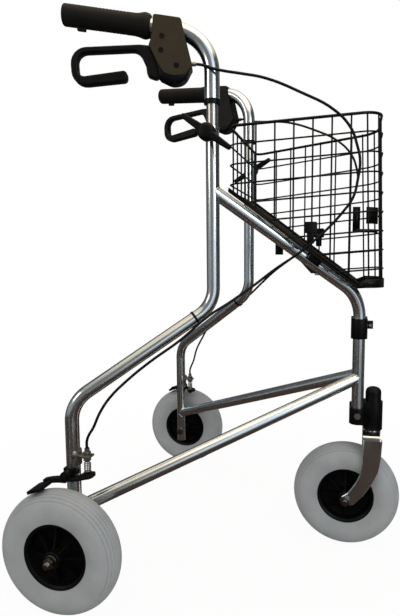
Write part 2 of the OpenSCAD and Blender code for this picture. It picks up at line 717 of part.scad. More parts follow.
// The two knobs are left at different turns
function wing_angle(side) = side == right ? -35 : 30;
module wing_knob(side) color("#202020") clamp_line(side) translate([0, 0, knob_in]) difference() {
    union() {
        cylinder(h = knob_t, d = knob_d);
        rotate([0, 0, wing_angle(side)]) translate([0, 0, knob_t - wing_t]) linear_extrude(wing_t)
            polygon(rounded([
                [-knob_l / 2, -4, 3.5], [0, -7, 30], [knob_l / 2, -4, 3.5],
                [knob_l / 2, 4, 3.5], [0, 7, 30], [-knob_l / 2, 4, 3.5]
            ]));
    }
    translate([0, 0, -1]) cylinder(h = knob_t - 3, r = screw_r + weld_gap);
}
module knob_screw(side) color("silver") clamp_line(side)
    translate([0, 0, post_r + hinge_gap]) cylinder(h = knob_in + knob_t - 5 - post_r - hinge_gap, r = screw_r);

// Folding brace, in four equal sides with the hinge line and the two lugs

brace_x = hinge_x - 2 * link_l * cos(open_angle - lug_turn);
link_high = link_low + link_rise;
plate_low = link_high + link_t + hinge_gap;
nub_l = 29;
link_side = [
    [-10, 0], [11, 0], [link_l - 11, link_rise], [link_l + 10, link_rise],
    [link_l + 10, link_rise + link_t], [link_l - 14, link_rise + link_t], [8, link_t], [-10, link_t]
];
module link_plate() intersection() {
    rotate([90, 0, 0]) linear_extrude(link_w + 2, center = true) polygon(link_side);
    translate([0, 0, -1]) union() {
        cylinder(h = link_rise + link_t + 2, d = link_w);
        translate([0, -link_w / 2, 0]) cube([link_l, link_w, link_rise + link_t + 2]);
        translate([link_l, 0, 0]) cylinder(h = link_rise + link_t + 2, d = link_w);
    }
}
module brace_link(side) color("#303030") on_frame(side)
    translate([lug_at, -lug_off, link_low]) rotate([0, 0, lug_turn - 2 * open_angle]) difference() {
        union() {
            link_plate();
            if (side == left) translate([link_l, 0, link_rise + 1]) cylinder(h = link_t * 2 + 1, r = pin_r);
        }
        translate([0, 0, -1]) cylinder(h = link_t + 2, r = pin_r + run_gap);
        if (side == right) translate([link_l, 0, link_rise - 1]) cylinder(h = link_t + 2, r = pin_r + run_gap);
    }

module brace_plate() color("#202020") translate([brace_x, 0, plate_low]) difference() {
    union() {
        for (side = [right, left]) translate([0, -side * hinge_half, 0]) cylinder(h = 5, d = link_w + 2);
        translate([-link_w / 2 - 1, -hinge_half, 0]) cube([link_w + 2, 2 * hinge_half, 5]);
        translate([0, 0, -nub_l]) cylinder(h = nub_l + 1, r = hinge_half - link_w / 2 - 1.5);
        translate([0, -hinge_half, -link_t - 2 * hinge_gap]) cylinder(h = link_t + 1, r = pin_r);
        translate([0, -hinge_half, -link_t - 2 * hinge_gap - 3]) cylinder(h = 3.1, r = pin_r + 1.5);
    }
    translate([0, hinge_half, -1]) cylinder(h = 7, r = pin_r + 0.4);
}

// Head

bolt_z = block_low + 18;
module socket_pair(low, h) {
    for (side = [right, left]) translate([hinge_x, side * hinge_half, low]) cylinder(h = h, r = socket_r);
    translate([hinge_x - 10, -hinge_half, low]) cube([20, 2 * hinge_half, h]);
}
module hinge_bores(low, h) for (side = [right, left])
    translate([hinge_x, side * hinge_half, low]) cylinder(h = h, r = tube_r + hinge_gap);

bearing_r = bearing_d / 2;
upper_bearing = caster_low + caster_h - bearing_w - 8;
nut_room = 12;
module head_block() color("#202020") difference() {
    union() {
        socket_pair(block_low, block_h);
        translate([hinge_x, -caster_d / 2 + 3, caster_low + 8]) cube([caster_ahead, caster_d - 6, caster_h - 8]);
        translate([stem_x, 0, caster_low]) cylinder(h = caster_h, d = caster_d);
        translate([stem_x, 0, caster_low + caster_h]) rotate_extrude()
            polygon(rounded([[0, -2, 0], [caster_d / 2 - 3, -2, 0], [caster_d / 2 - 3, cap_h, 10], [0, cap_h, 0]]));
    }
    hinge_bores(block_low + socket_floor, caster_h);
    translate([stem_x, 0, caster_low - 1]) cylinder(h = bearing_w + 1, r = bearing_r + weld_gap);
    translate([stem_x, 0, caster_low]) cylinder(h = caster_h, r = stem_d / 2 + 3);
    translate([stem_x, 0, upper_bearing]) cylinder(h = bearing_w + nut_room, r = bearing_r + weld_gap);
    for (side = [right, left]) translate([hinge_x, side * (hinge_half + tube_r + hinge_gap + 1), bolt_z])
        rotate([-side * 90, 0, 0]) cylinder(h = 20, r = 3 + weld_gap);
}

module head_collar() color("#202020") difference() {
    union() {
        socket_pair(collar_low, collar_h);
        translate([hinge_x + 6, -6, collar_low + 17]) cube([19, 12, 14]);
    }
    hinge_bores(collar_low - 1, collar_h + 2);
    translate([hinge_x + 20, 7, collar_low + 24]) rotate([90, 0, 0]) cylinder(h = 14, r = 3 + weld_gap);
}

// One bolt in each side of the block, and the collar's clamp bolt
module head_bolts() color("silver") {
    for (side = [right, left]) translate([hinge_x, side * (hinge_half + tube_r + hinge_gap + 1.2), bolt_z])
        rotate([-side * 90, 0, 0]) {
            cylinder(h = socket_wall, r = 3);
            translate([0, 0, socket_wall - 0.8]) hex(11, 4);
        }
    translate([hinge_x + 20, 6 + lay_gap + 4, collar_low + 24]) rotate([90, 0, 0]) {
        cylinder(h = 20, r = 3);
        hex(8, 4);
    }
}

module caster_bearings() color("silver") {
    for (z = [caster_low + weld_gap, upper_bearing + weld_gap]) translate([stem_x, 0, z])
        ring(bearing_r, stem_d / 2 + run_gap, bearing_w - 2 * weld_gap);
}

module caster_stem() color("silver") translate([stem_x, 0, 0]) {
    translate([0, 0, crown_top - crown_t - 4]) hex(18, 4 - weld_gap);
    translate([0, 0, crown_top - crown_t - 1])
        cylinder(h = upper_bearing + bearing_w + 9 - crown_top + crown_t, r = stem_d / 2);
    translate([0, 0, crown_top + weld_gap]) ring(stem_d / 2 + 5, stem_d / 2 + weld_gap, caster_low - crown_top - 0.5);
    translate([0, 0, upper_bearing + bearing_w + 0.2]) nut(18, stem_d / 2 + weld_gap, 7);
}

// Fork: two legs that sweep back from the crown to the axle
fork_r = 10;
fork_rear = caster_ahead - fork_w / 2 - 1;
fork_front = caster_ahead + fork_w / 2;
axle_at = caster_ahead - trail;
leg_corners = [
    [fork_rear, crown_top, 0], [fork_front, crown_top, 5], [fork_front - 2, crown_top - 40, 60],
    [fork_front - 6, crown_top - 68, 40], [fork_front - 15, crown_top - 89, 40], [axle_at + 34, wheel_r + 12, 40],
    [axle_at + 13, wheel_r - fork_r - 1, 14], [axle_at - 10, wheel_r - fork_r + 2, 8],
    [axle_at - 8, wheel_r + fork_r - 4, 7], [axle_at + 5, wheel_r + fork_r + 6, 20], [axle_at + 18, wheel_r + 36, 30],
    [fork_rear - 3, crown_top - 72, 40], [fork_rear, crown_top - 50, 40]
];
module caster_fork() color("silver") difference() {
    union() {
        for (side = [right, left]) translate([hinge_x, side * (fork_in / 2 + fork_t / 2), 0])
            rotate([90, 0, 0]) linear_extrude(fork_t, center = true) polygon(rounded(leg_corners));
        translate([hinge_x + fork_rear, -fork_in / 2 - 1, crown_top - crown_t])
            cube([fork_front - fork_rear - 5, fork_in + 2, crown_t]);
    }
    translate([stem_x, 0, crown_top - 20]) cylinder(h = 30, r = stem_d / 2 + weld_gap);
    translate([front_x, 0, wheel_r]) rotate([90, 0, 0])
        cylinder(h = 2 * fork_in, r = axle_r + weld_gap, center = true);
}

fork_out = fork_in / 2 + fork_t;
module front_axle() color("gray") translate([front_x, 0, wheel_r]) rotate([90, 0, 0]) {
    cylinder(h = 2 * (fork_out + axle_nut + 3), r = axle_r, center = true);
    for (side = [right, left]) translate([0, 0, side * (fork_out + lay_gap + axle_nut / 2)])
        translate([0, 0, -axle_nut / 2]) nut(16, axle_r + weld_gap, axle_nut);
}
module front_wheel_line() translate([front_x, 0, wheel_r]) rotate([90, 0, 0]) children();
module front_tyre() color("darkgray") front_wheel_line() tyre_ring();
module front_hub() color("#202020") front_wheel_line() hub_wheel(fork_in / 2 - 0.6);

// Basket: flat grids of welded wire, two sides, front, rear and a floor in two slopes

basket_rear = upright_x - hinge_x + tube_r + basket_gap;
basket_l = basket_ahead - basket_rear;
basket_turn = atan((basket_rear_half - basket_front_half) / basket_l);
side_l = norm([basket_l, basket_rear_half - basket_front_half]);
// Height of the floor's lower face at a distance ahead of the hinge tubes, and where it turns level
floor_slope = rail_slope / cos(open_angle);
slope_angle = atan(floor_slope);
floor_lift = (tube_r + floor_gap) / cos(slope_angle);
floor_from = -6;
function floor_at(x) = rail_low + floor_lift + floor_slope * -min(x, floor_from);
function rim_at(x) = rim_rear + (rim_front - rim_rear) * (x - basket_rear) / basket_l;
floor_z = floor_at(0);

// A straight bar in the plane, from p to q
module bar(p, q, w) translate(p) rotate([0, 0, heading(q - p)]) translate([-w, -w / 2])
    square([norm(q - p) + 2 * w, w]);

// A grid of wires inside an outline: wires across at each place, rows below the rim, wires along the edges,
// and a closed band inside the edges that stand on the floor
module grid(outline, places, rows, low, high, foot) intersection() {
    polygon(outline);
    union() {
        for (x = places) bar([x, low], [x, high], wire);
        for (row = rows) bar(row[0], row[1], wire);
        for (i = [1:len(outline) - 1]) bar(outline[i], outline[(i + 1) % len(outline)], 2 * wire);
        for (i = foot) bar(outline[i], outline[(i + 1) % len(outline)], 2 * foot_band);
        bar(outline[0], outline[1], 2 * rim_wire);
    }
}

row_count = floor((rim_front - floor_z) / mesh_z);
// Distances along a side panel and heights of its corners, from the rear of the rim forwards
turn_along = (floor_from - basket_rear) / basket_l * side_l;
foot_along = side_l + front_lean / cos(basket_turn);
side_outline = [
    [0, rim_rear], [side_l, rim_front], [foot_along, floor_z], [turn_along, floor_z], [0, floor_at(basket_rear)]
];
side_places = [for (x = [mesh_x * 1.5:mesh_x:side_l - mesh_x / 2]) x];
// Each row runs on past the rim's front, to meet the leaning front edge
row_rise = (rim_front - rim_rear) / side_l;
side_rows = [for (i = [1:row_count])
    [[0, rim_rear - mesh_z * i], [foot_along, rim_rear - mesh_z * i + row_rise * foot_along]]];
module on_side(side) handed(side)
    translate([hinge_x + basket_rear, -basket_rear_half, 0]) rotate([90, 0, basket_turn]) children();
module basket_side(side) color("#202020") on_side(side)
    linear_extrude(wire, center = true) grid(side_outline, side_places, side_rows, floor_z, rim_front, [2, 3]);

// Front and rear panels stand between the sides, hung by height below their rims
function centred(half, step) = [for (i = [-floor(half / step):floor(half / step)]) i * step];
module basket_end(x, rim_z, rim_half, foot_half, h, lean, foot) color("#202020")
    translate([hinge_x + x, 0, rim_z]) rotate([0, -lean, 0]) rotate([90, 0, 90])
    linear_extrude(wire, center = true) grid(
        [[-rim_half, 0], [rim_half, 0], [foot_half, -h], [-foot_half, -h]], centred(foot_half - 6, mesh_x),
        [for (z = [-mesh_z:-mesh_z:4 - h]) [[-rim_half, z], [rim_half, z]]], -h, 0, foot
    );
function inside_half(x) = basket_rear_half + (basket_front_half - basket_rear_half) * (x - basket_rear) / basket_l
    - wire / 2 / cos(basket_turn) - lay_gap;
front_at = basket_ahead - wire / 2;
rear_at = basket_rear + wire / 2;
front_h = rim_at(front_at) - floor_z - wire - 2 * lay_gap;
foot_ahead = basket_ahead + front_lean;
module basket_front() basket_end(
    front_at, rim_at(front_at), inside_half(basket_ahead), inside_half(foot_ahead + lay_gap), front_h,
    atan(front_lean / front_h), [2]
);
module basket_rear_panel() basket_end(
    rear_at, rim_rear, inside_half(rear_at + wire / 2), inside_half(rear_at + wire / 2),
    rim_rear - floor_at(basket_rear) - wire / cos(slope_angle) - lay_gap, 0, []
);

// Floor: a sloped grid and a level one, joined where the slope ends. The sloped one is narrower, because its
// upper face lies ahead of its lower face, where the sides are closer.
slope_l = (floor_from - basket_rear) / cos(slope_angle);
slope_in = wire * sin(slope_angle) * tan(basket_turn);
module floor_grid(l, wide, narrow) grid(
    [[0, -wide], [0, wide], [l, narrow], [l, -narrow]],
    [for (x = [mesh_x:mesh_x:l - 8]) x],
    [for (i = [-3:3]) [[0, i * wide / 4], [l, i * narrow / 4]]], -wide, wide, []
);
module basket_floor() color("#202020") translate([hinge_x, 0, 0]) {
    translate([basket_rear, 0, floor_at(basket_rear)]) rotate([0, slope_angle, 0]) linear_extrude(wire)
        floor_grid(slope_l + 1, inside_half(basket_rear) - slope_in, inside_half(floor_from + 1) - slope_in);
    translate([floor_from, 0, floor_z])
        linear_extrude(wire) floor_grid(foot_ahead - floor_from, inside_half(floor_from), inside_half(foot_ahead));
}

// Clips that seat the floor on the upper diagonals, each a pad on the tube, a lip outside it and a tab on the
// basket's side. The pads lie in the floor's own slope.
clip_at = 100;
clip_l = 24;
clip_lean = asin(sin(slope_angle) * sin(open_angle));
tab_along = 140;
tab_low = 578;
module clip_line(side) on_frame(side) translate([clip_at, 0, rail_low + rail_slope * clip_at])
    rotate([0, -atan(rail_slope), 0]) rotate([-clip_lean, 0, 0]) translate([-clip_l / 2, 0, 0]) children();
module basket_clips() color("#202020") for (side = [right, left]) {
    clip_line(side) translate([0, -4, tube_r + hinge_gap])
        cube([clip_l, tube_r + 13, floor_gap - hinge_gap - lay_gap]);
    clip_line(side) translate([0, tube_r + 2 * hinge_gap, 0]) cube([clip_l, 8, tube_r + hinge_gap - weld_gap]);
    on_side(side) translate([tab_along, tab_low, wire / 2 + lay_gap]) linear_extrude(2.5)
        polygon(rounded([
            [-6, 0, 2], [6, 0, 2], [6, 18, 2], [11, 18, 2], [11, 37, 3], [-11, 37, 3], [-11, 18, 2], [-6, 18, 2]
        ]));
}

main_tube(right);  // right_main_tube
main_tube(left);  // left_main_tube
front_tube(right);  // right_front_tube
front_tube(left);  // left_front_tube
lower_bar(right);  // right_lower_bar
lower_bar(left);  // left_lower_bar
rear_axle(right);  // right_rear_axle
rear_axle(left);  // left_rear_axle
tyre(right);  // right_tyre
tyre(left);  // left_tyre
hub(right);  // right_hub
hub(left);  // left_hub
brake_bracket(right);  // right_brake_bracket
brake_bracket(left);  // left_brake_bracket
cable_adjuster(right);  // right_cable_adjuster
cable_adjuster(left);  // left_cable_adjuster
brake_spring(right);  // right_brake_spring
brake_spring(left);  // left_brake_spring
brake_arm(right);  // right_brake_arm
brake_arm(left);  // left_brake_arm
brake_cable(right);  // right_brake_cable
brake_cable(left);  // left_brake_cable
cable_tie(right);  // right_cable_tie
cable_tie(left);  // left_cable_tie
handle_post(right);  // right_handle_post
handle_post(left);  // left_handle_post
handle_ring(right);  // right_handle_ring
handle_ring(left);  // left_handle_ring
handle_tube(right);  // right_handle_tube
handle_tube(left);  // left_handle_tube
grip(right);  // right_grip
grip(left);  // left_grip
brake_housing(right);  // right_brake_housing
brake_housing(left);  // left_brake_housing
housing_fittings(right);  // right_housing_fittings
housing_fittings(left);  // left_housing_fittings
brake_lever(right);  // right_brake_lever
brake_lever(left);  // left_brake_lever
wing_knob(right);  // right_wing_knob
wing_knob(left);  // left_wing_knob
knob_screw(right);  // right_knob_screw
knob_screw(left);  // left_knob_screw
brace_link(right);  // right_brace_link
brace_link(left);  // left_brace_link
brace_plate();
head_block();
head_collar();
head_bolts();
caster_bearings();
caster_stem();
caster_fork();
front_axle();
front_tyre();
front_hub();
basket_side(right);  // basket_right
basket_side(left);  // basket_left
basket_front();
basket_rear_panel();  // basket_rear
basket_floor();
basket_clips();
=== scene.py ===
import math
import bmesh
import bpy
from mathutils import Matrix, Vector


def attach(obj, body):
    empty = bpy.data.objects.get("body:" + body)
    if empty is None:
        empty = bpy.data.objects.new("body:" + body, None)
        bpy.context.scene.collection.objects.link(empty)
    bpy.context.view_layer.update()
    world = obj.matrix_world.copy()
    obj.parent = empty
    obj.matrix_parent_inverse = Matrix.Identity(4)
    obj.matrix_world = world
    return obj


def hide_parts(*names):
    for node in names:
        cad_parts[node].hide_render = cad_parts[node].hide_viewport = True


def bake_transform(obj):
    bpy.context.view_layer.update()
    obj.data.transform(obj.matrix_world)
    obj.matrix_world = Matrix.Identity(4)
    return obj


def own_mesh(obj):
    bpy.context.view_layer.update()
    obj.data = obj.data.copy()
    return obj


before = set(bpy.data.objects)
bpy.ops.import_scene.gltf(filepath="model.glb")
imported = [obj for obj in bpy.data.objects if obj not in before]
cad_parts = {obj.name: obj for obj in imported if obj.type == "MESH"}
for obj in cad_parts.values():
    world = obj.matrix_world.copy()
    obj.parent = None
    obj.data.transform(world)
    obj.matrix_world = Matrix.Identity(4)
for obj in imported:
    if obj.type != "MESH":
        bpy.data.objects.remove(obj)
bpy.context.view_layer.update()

# Camera: a hand-held height in front of the right-hand wheel, looking a little back and down.
# Its place and lens were fitted to the wheels and tubes of the photograph.
camera_place = Vector((0.2200, -0.9436, 0.5567))
camera_yaw = math.radians(13.33)
camera_pitch = math.radians(5.79)
camera_roll = math.radians(-0.13)
camera_back = Vector((
    math.sin(camera_yaw) * math.cos(camera_pitch),
    -math.cos(camera_yaw) * math.cos(camera_pitch),
    math.sin(camera_pitch),
))
level_right = Vector((0, 0, 1)).cross(camera_back).normalized()
level_up = camera_back.cross(level_right)
camera_right = math.cos(camera_roll) * level_right + math.sin(camera_roll) * level_up
camera_up = camera_back.cross(camera_right)
lens = bpy.data.cameras.new("camera")
lens.lens = 28.75
lens.sensor_width = 36
lens.shift_x = -0.0589
lens.shift_y = -0.0022
lens.clip_start = 0.01
camera = bpy.data.objects.new("camera", lens)
turn = Matrix((camera_right, camera_up, camera_back)).transposed()
camera.matrix_world = Matrix.Translation(camera_place) @ turn.to_4x4()
bpy.context.scene.collection.objects.link(camera)
bpy.context.scene.camera = camera
bpy.context.scene.view_settings.view_transform = "Standard"

# Brake cables: steel wire in a black plastic sheath, from each brake housing round the outside of the
# basket and down the main tube to the adjuster at the rear wheel. The upper loop follows the handle.
MM = 0.001
sides = (("right", 1), ("left", -1))
hinge_x = 233.37
hinge_half = 15
cable_d = 4.5
cable_routes = {
    "right": (
        (-262.9, -162.8, 861.5), (-258, -161.5, 861), (-248, -162.5, 858), (-236, -162.5, 853),
        (-216, -158.5, 848.5), (-194, -154, 845), (-155, -144, 838),
        (-101, -130, 817), (-47, -116, 789), (-21, -110, 761), (-11, -106, 735), (-6, -103, 712),
        (-9, -100, 681), (-16, -98, 653), (-32, -98, 630), (-61, -104, 598), (-80, -109, 581),
        (-102, -111, 563), (-144, -116, 534), (-179, -131, 506), (-213, -148, 481), (-245, -166, 459),
        (-288, -187, 420), (-333, -209, 386), (-364, -226, 359), (-388, -241, 333), (-402, -249, 310),
        (-412, -255, 285), (-419.5, -257, 272), (-422.7, -257.1, 262), (-422.7, -257.1, 252.2),
    ),
    "left": (
        (-262.9, -162.8, 861.5), (-258, -161.5, 861), (-248, -162.5, 859), (-236, -162.5, 855.5),
        (-216, -158.5, 852.5), (-194, -154, 850), (-155, -144, 843),
        (-101, -130, 822), (-47, -116, 791), (-21, -110, 762), (-11, -106, 736), (-8, -101, 711),
        (-17, -101, 676), (-36, -103, 647), (-73, -109, 608), (-98, -114, 587), (-126, -118, 565),
        (-160, -127, 541), (-182, -135, 525), (-213, -150, 498), (-245, -167, 469), (-288, -187, 436),
        (-333, -211, 404), (-364, -229, 379), (-384, -241, 350), (-402, -249.5, 318), (-412, -255, 288),
        (-419.5, -257, 272), (-422.7, -257.1, 262), (-422.7, -257.1, 252.2),
    ),
}


def linear(code):
    """An sRGB hex colour as linear red, green, blue and alpha."""
    parts = [int(code[i:i + 2], 16) / 255 for i in (1, 3, 5)]
    return [c / 12.92 if c <= 0.04045 else ((c + 0.055) / 1.055) ** 2.4 for c in parts] + [1]


def add(tree, kind, inputs, **settings):
    """A node with its settings, and each input set to a value or linked to a socket."""
    node = tree.nodes.new(kind)
    for key, value in settings.items():
        setattr(node, key, value)
    for key, value in inputs.items():
        if isinstance(value, bpy.types.NodeSocket):
            tree.links.new(value, node.inputs[key])
        else:
            node.inputs[key].default_value = value
    return node


def blank_material(name):
    """A material with an empty node tree, and the tree."""
    material = bpy.data.materials.new(name)
    material.use_nodes = True
    material.node_tree.nodes.clear()
    return material, material.node_tree


def paint(material, *nodes):
    """Gives a finish to solids that stay as they are."""
    for node in nodes:
        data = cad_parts[node].data
        data.materials.clear()
        data.materials.append(material)


def wires(name, lines, radius, sides_round, material, smooth_line=False, closed=()):
    """Round wires along lines of points in metres, straight between them or smooth, and their middle line."""
    curve = bpy.data.curves.new(name, "CURVE")
    curve.dimensions = "3D"
    curve.bevel_depth = radius
    curve.bevel_resolution = sides_round
    curve.use_fill_caps = True
    curve.resolution_u = 6
    for index, line in enumerate(lines):
        spline = curve.splines.new("BEZIER" if smooth_line else "POLY")
        points = spline.bezier_points if smooth_line else spline.points
        points.add(len(line) - 1)
        spline.use_cyclic_u = index in closed
        for point, place in zip(points, line):
            if smooth_line:
                point.co = place
                point.handle_left_type = "AUTO"
                point.handle_right_type = "AUTO"
            else:
                point.co = (*place, 1)
    holder = bpy.data.objects.new(name + "_line", curve)
    bpy.context.scene.collection.objects.link(holder)
    bpy.context.view_layer.update()
    graph = bpy.context.evaluated_depsgraph_get()
    mesh = bpy.data.meshes.new_from_object(holder.evaluated_get(graph))
    curve.bevel_depth = 0
    bpy.context.view_layer.update()
    graph = bpy.context.evaluated_depsgraph_get()
    bare = bpy.data.meshes.new_from_object(holder.evaluated_get(graph))
    middle = [tuple(v.co) for v in bare.vertices]
    bpy.data.meshes.remove(bare)
    bpy.data.objects.remove(holder)
    mesh.name = name
    mesh.materials.append(material)
    for face in mesh.polygons:
        face.use_smooth = True
    thing = bpy.data.objects.new(name, mesh)
    bpy.context.scene.collection.objects.link(thing)
    return thing, middle


# Extruded PVC: smooth and near black, with a soft gloss and a faint mottle from the die
cable_sheath, tree = blank_material("extruded_pvc_sheath")
spot = add(tree, "ShaderNodeTexCoord", {})
mottle = add(tree, "ShaderNodeTexNoise", {"Vector": spot.outputs["Object"], "Scale": 1 / 0.008, "Detail": 3})
tone = add(tree, "ShaderNodeMix", data_type="RGBA", inputs={
    "Factor": mottle.outputs["Fac"], "A": linear("#070707"), "B": linear("#101010")})
gloss = add(tree, "ShaderNodeMapRange", {"Value": mottle.outputs["Fac"], "To Min": 0.28, "To Max": 0.42})
shell = add(tree, "ShaderNodeBsdfPrincipled",
            {"Base Color": tone.outputs["Result"], "Roughness": gloss.outputs["Result"], "IOR": 1.53,
             "Specular IOR Level": 0.15})
add(tree, "ShaderNodeOutputMaterial", {"Surface": shell.outputs["BSDF"]})

for side, hand in sides:
    route = [Vector((hinge_x + x, y * hand, z)) * MM for x, y, z in cable_routes[side]]
    cable, middle = wires(side + "_cable", [route], cable_d / 2 * MM, 3, cable_sheath, smooth_line=True)
    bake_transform(cable)
    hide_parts(side + "_brake_cable")
    paint(cable_sheath, side + "_cable_tie")

# Studio: a white floor that keeps a faint shadow, a soft overhead box with two side boxes, and dark
# cards round the object that only mirror-bright metal sees, as a photographer sets them for chrome.
floor_half = 20
floor_drop = 0.0004


def ray_looks(tree):
    """The light path, and a socket that is 1 for rays of the camera, of mirrors and through glass."""
    path = add(tree, "ShaderNodeLightPath", {})
    looks = path.outputs["Is Camera Ray"]
    for ray in ("Is Glossy Ray", "Is Transmission Ray"):
        either = add(tree, "ShaderNodeMath", {0: looks, 1: path.outputs[ray]}, operation="MAXIMUM")
        looks = either.outputs["Value"]
    return path, looks


scene_world = bpy.data.worlds.new("studio")
bpy.context.scene.world = scene_world
scene_world.use_nodes = True
tree = scene_world.node_tree
tree.nodes.clear()
path, looks = ray_looks(tree)
level = add(tree, "ShaderNodeMapRange", {"Value": looks, "To Min": 0.62, "To Max": 1.0})
warmth = add(tree, "ShaderNodeMix", data_type="RGBA", inputs={
    "Factor": path.outputs["Is Glossy Ray"], "A": linear("#FFFFFF"), "B": linear("#FFF0D8")})
sky = add(tree, "ShaderNodeBackground",
          {"Color": warmth.outputs["Result"], "Strength": level.outputs["Result"]})
add(tree, "ShaderNodeOutputWorld", {"Surface": sky.outputs["Background"]})

# White floor paint: evenly lit to white, a touch greyer round the wheels, where a faint shadow stays
floor_paint, tree = blank_material("white_floor_paint")
path, looks = ray_looks(tree)
spot = add(tree, "ShaderNodeTexCoord", {})
reach = add(tree, "ShaderNodeVectorMath", {0: spot.outputs["Object"]}, operation="LENGTH")
whiter = add(tree, "ShaderNodeMapRange", {
    "Value": reach.outputs["Value"], "From Min": 0.3, "From Max": 1.1, "To Min": 0.95, "To Max": 1.0})
share = add(tree, "ShaderNodeMath", {0: looks, 1: whiter.outputs["Result"]}, operation="MULTIPLY")
matt = add(tree, "ShaderNodeBsdfDiffuse", {"Color": linear("#EFEEEC")})
plain = add(tree, "ShaderNodeEmission", {"Color": linear("#FFFFFF"), "Strength": 1.0})
both = add(tree, "ShaderNodeMixShader",
           {"Fac": share.outputs["Value"], 1: matt.outputs["BSDF"], 2: plain.outputs["Emission"]})
add(tree, "ShaderNodeOutputMaterial", {"Surface": both.outputs["Shader"]})
work = bmesh.new()
bmesh.ops.create_grid(work, x_segments=2, y_segments=2, size=floor_half)
bmesh.ops.translate(work, verts=work.verts, vec=(0, 0, -floor_drop))
mesh = bpy.data.meshes.new("floor")
work.to_mesh(mesh)
work.free()
mesh.materials.append(floor_paint)
floor = bpy.data.objects.new("floor", mesh)
bpy.context.scene.collection.objects.link(floor)

lamps = (
    ("overhead_box", (0.3, -0.5, 2.3), (0, 0, 0.4), 1.9, 17, "#FFE8CB"),
    ("right_box", (1.7, -1.5, 1.2), (0, 0, 0.5), 0.8, 9, "#DFECFF"),
    ("left_box", (-1.5, -1.6, 1.3), (0, 0, 0.5), 0.7, 6, "#FFF8EE"),
)
for name, place, aim, width, power, tint in lamps:
    lamp = bpy.data.lights.new(name, "AREA")
    lamp.shape = "SQUARE"
    lamp.size = width
    lamp.energy = power
    lamp.color = linear(tint)[:3]
    holder = bpy.data.objects.new(name, lamp)
    holder.location = place
    holder.rotation_mode = "QUATERNION"
    holder.rotation_quaternion = (Vector(aim) - Vector(place)).to_track_quat("-Z", "Y")
    bpy.context.scene.collection.objects.link(holder)

# Each card spans bearings from one to another, with 0 towards -Y and 90 towards +X, up to a height,
# and goes on along the floor in a darker tone. The window card is the bright stripe on the tubes.
cards = (
    ("card_back_left", -178, -76, 3.4, "#585B60", "#3A3937"),
    ("card_left", -75, -24, 3.4, "#949698", "#403D3A"),
    ("card_behind_camera", -23, 20, 2.6, "#7A7B7C", "#4E423C"),
    ("card_window", 21, 61, 3.4, "#EAF5FF", "#8A8C8E"),
    ("card_right", 62, 120, 3.4, "#44474A", "#45423E"),
    ("card_back_right", 121, 180, 3.4, "#6F6C66", "#5A564E"),
)
card_reach = 3.0
mat_reach = 0.9
card_level = -0.0002


def mirror_card(name, work, tones):
    """A glowing sheet that only mirror-bright metal sees, with one tone for each material index."""
    mesh = bpy.data.meshes.new(name)
    work.to_mesh(mesh)
    work.free()
    for tone in tones:
        card_paint, tree = blank_material(name + "_paint")
        glow = add(tree, "ShaderNodeEmission", {"Color": linear(tone), "Strength": 1.0})
        add(tree, "ShaderNodeOutputMaterial", {"Surface": glow.outputs["Emission"]})
        mesh.materials.append(card_paint)
    card = bpy.data.objects.new(name, mesh)
    bpy.context.scene.collection.objects.link(card)
    card.visible_camera = False
    card.visible_diffuse = False
    card.visible_shadow = False
    card.visible_transmission = False


for name, first, last, high, wall_tone, floor_tone in cards:
    work = bmesh.new()
    start = math.radians(first)
    line = ((mat_reach, card_level), (card_reach, card_level), (card_reach, high))
    verts = [work.verts.new((r * math.sin(start), -r * math.cos(start), z)) for r, z in line]
    edges = [work.edges.new(pair) for pair in zip(verts, verts[1:])]
    bmesh.ops.spin(work, geom=verts + edges, cent=(0, 0, 0), axis=(0, 0, 1), angle=math.radians(last - first),
                   steps=12, use_merge=False)
    for face in work.faces:
        face.normal_update()
        face.material_index = 1 if abs(face.normal.z) > 0.5 else 0
    mirror_card(name, work, (wall_tone, floor_tone))
work = bmesh.new()
bmesh.ops.create_circle(work, cap_ends=True, segments=48, radius=mat_reach)
bmesh.ops.translate(work, verts=work.verts, vec=(0, 0, card_level))
mirror_card("card_under", work, ("#463A34",))

# Side frames and handles: round steel tube, bent, welded and bright plated. The solids have the right
# shape, so they stay, and small weld beads are laid where one tube runs into another.
tube_r = 11.1
open_angle = math.radians(28.4)
upright_at = 275
leg_at = 509
rail_low = 483
rail_high = 665.5
bar_rear = 146
bar_front = 332
bead = 1.3

# Nickel-chrome plate on drawn tube: a cool, slightly soft mirror, with patches dulled by hands and wiping
plated_steel, tree = blank_material("bright_plated_steel")
spot = add(tree, "ShaderNodeTexCoord", {})
patches = add(tree, "ShaderNodeTexNoise", {"Vector": spot.outputs["Object"], "Scale": 1 / 0.045, "Detail": 4})
dulled = add(tree, "ShaderNodeMapRange", {"Value": patches.outputs["Fac"], "From Min": 0.3, "From Max": 0.7,
                                          "To Min": 0.15, "To Max": 0.24})
tone = add(tree, "ShaderNodeMix", data_type="RGBA", inputs={
    "Factor": patches.outputs["Fac"], "A": linear("#CDD5D8"), "B": linear("#DEE3E4")})
waves = add(tree, "ShaderNodeTexNoise", {"Vector": spot.outputs["Object"], "Scale": 1 / 0.006, "Detail": 2})
relief = add(tree, "ShaderNodeBump", {"Height": waves.outputs["Fac"], "Strength": 0.02, "Distance": 0.0002})
shell = add(tree, "ShaderNodeBsdfPrincipled",
            {"Base Color": tone.outputs["Result"], "Metallic": 1.0, "Roughness": dulled.outputs["Result"],
             "Normal": relief.outputs["Normal"]})
add(tree, "ShaderNodeOutputMaterial", {"Surface": shell.outputs["BSDF"]})


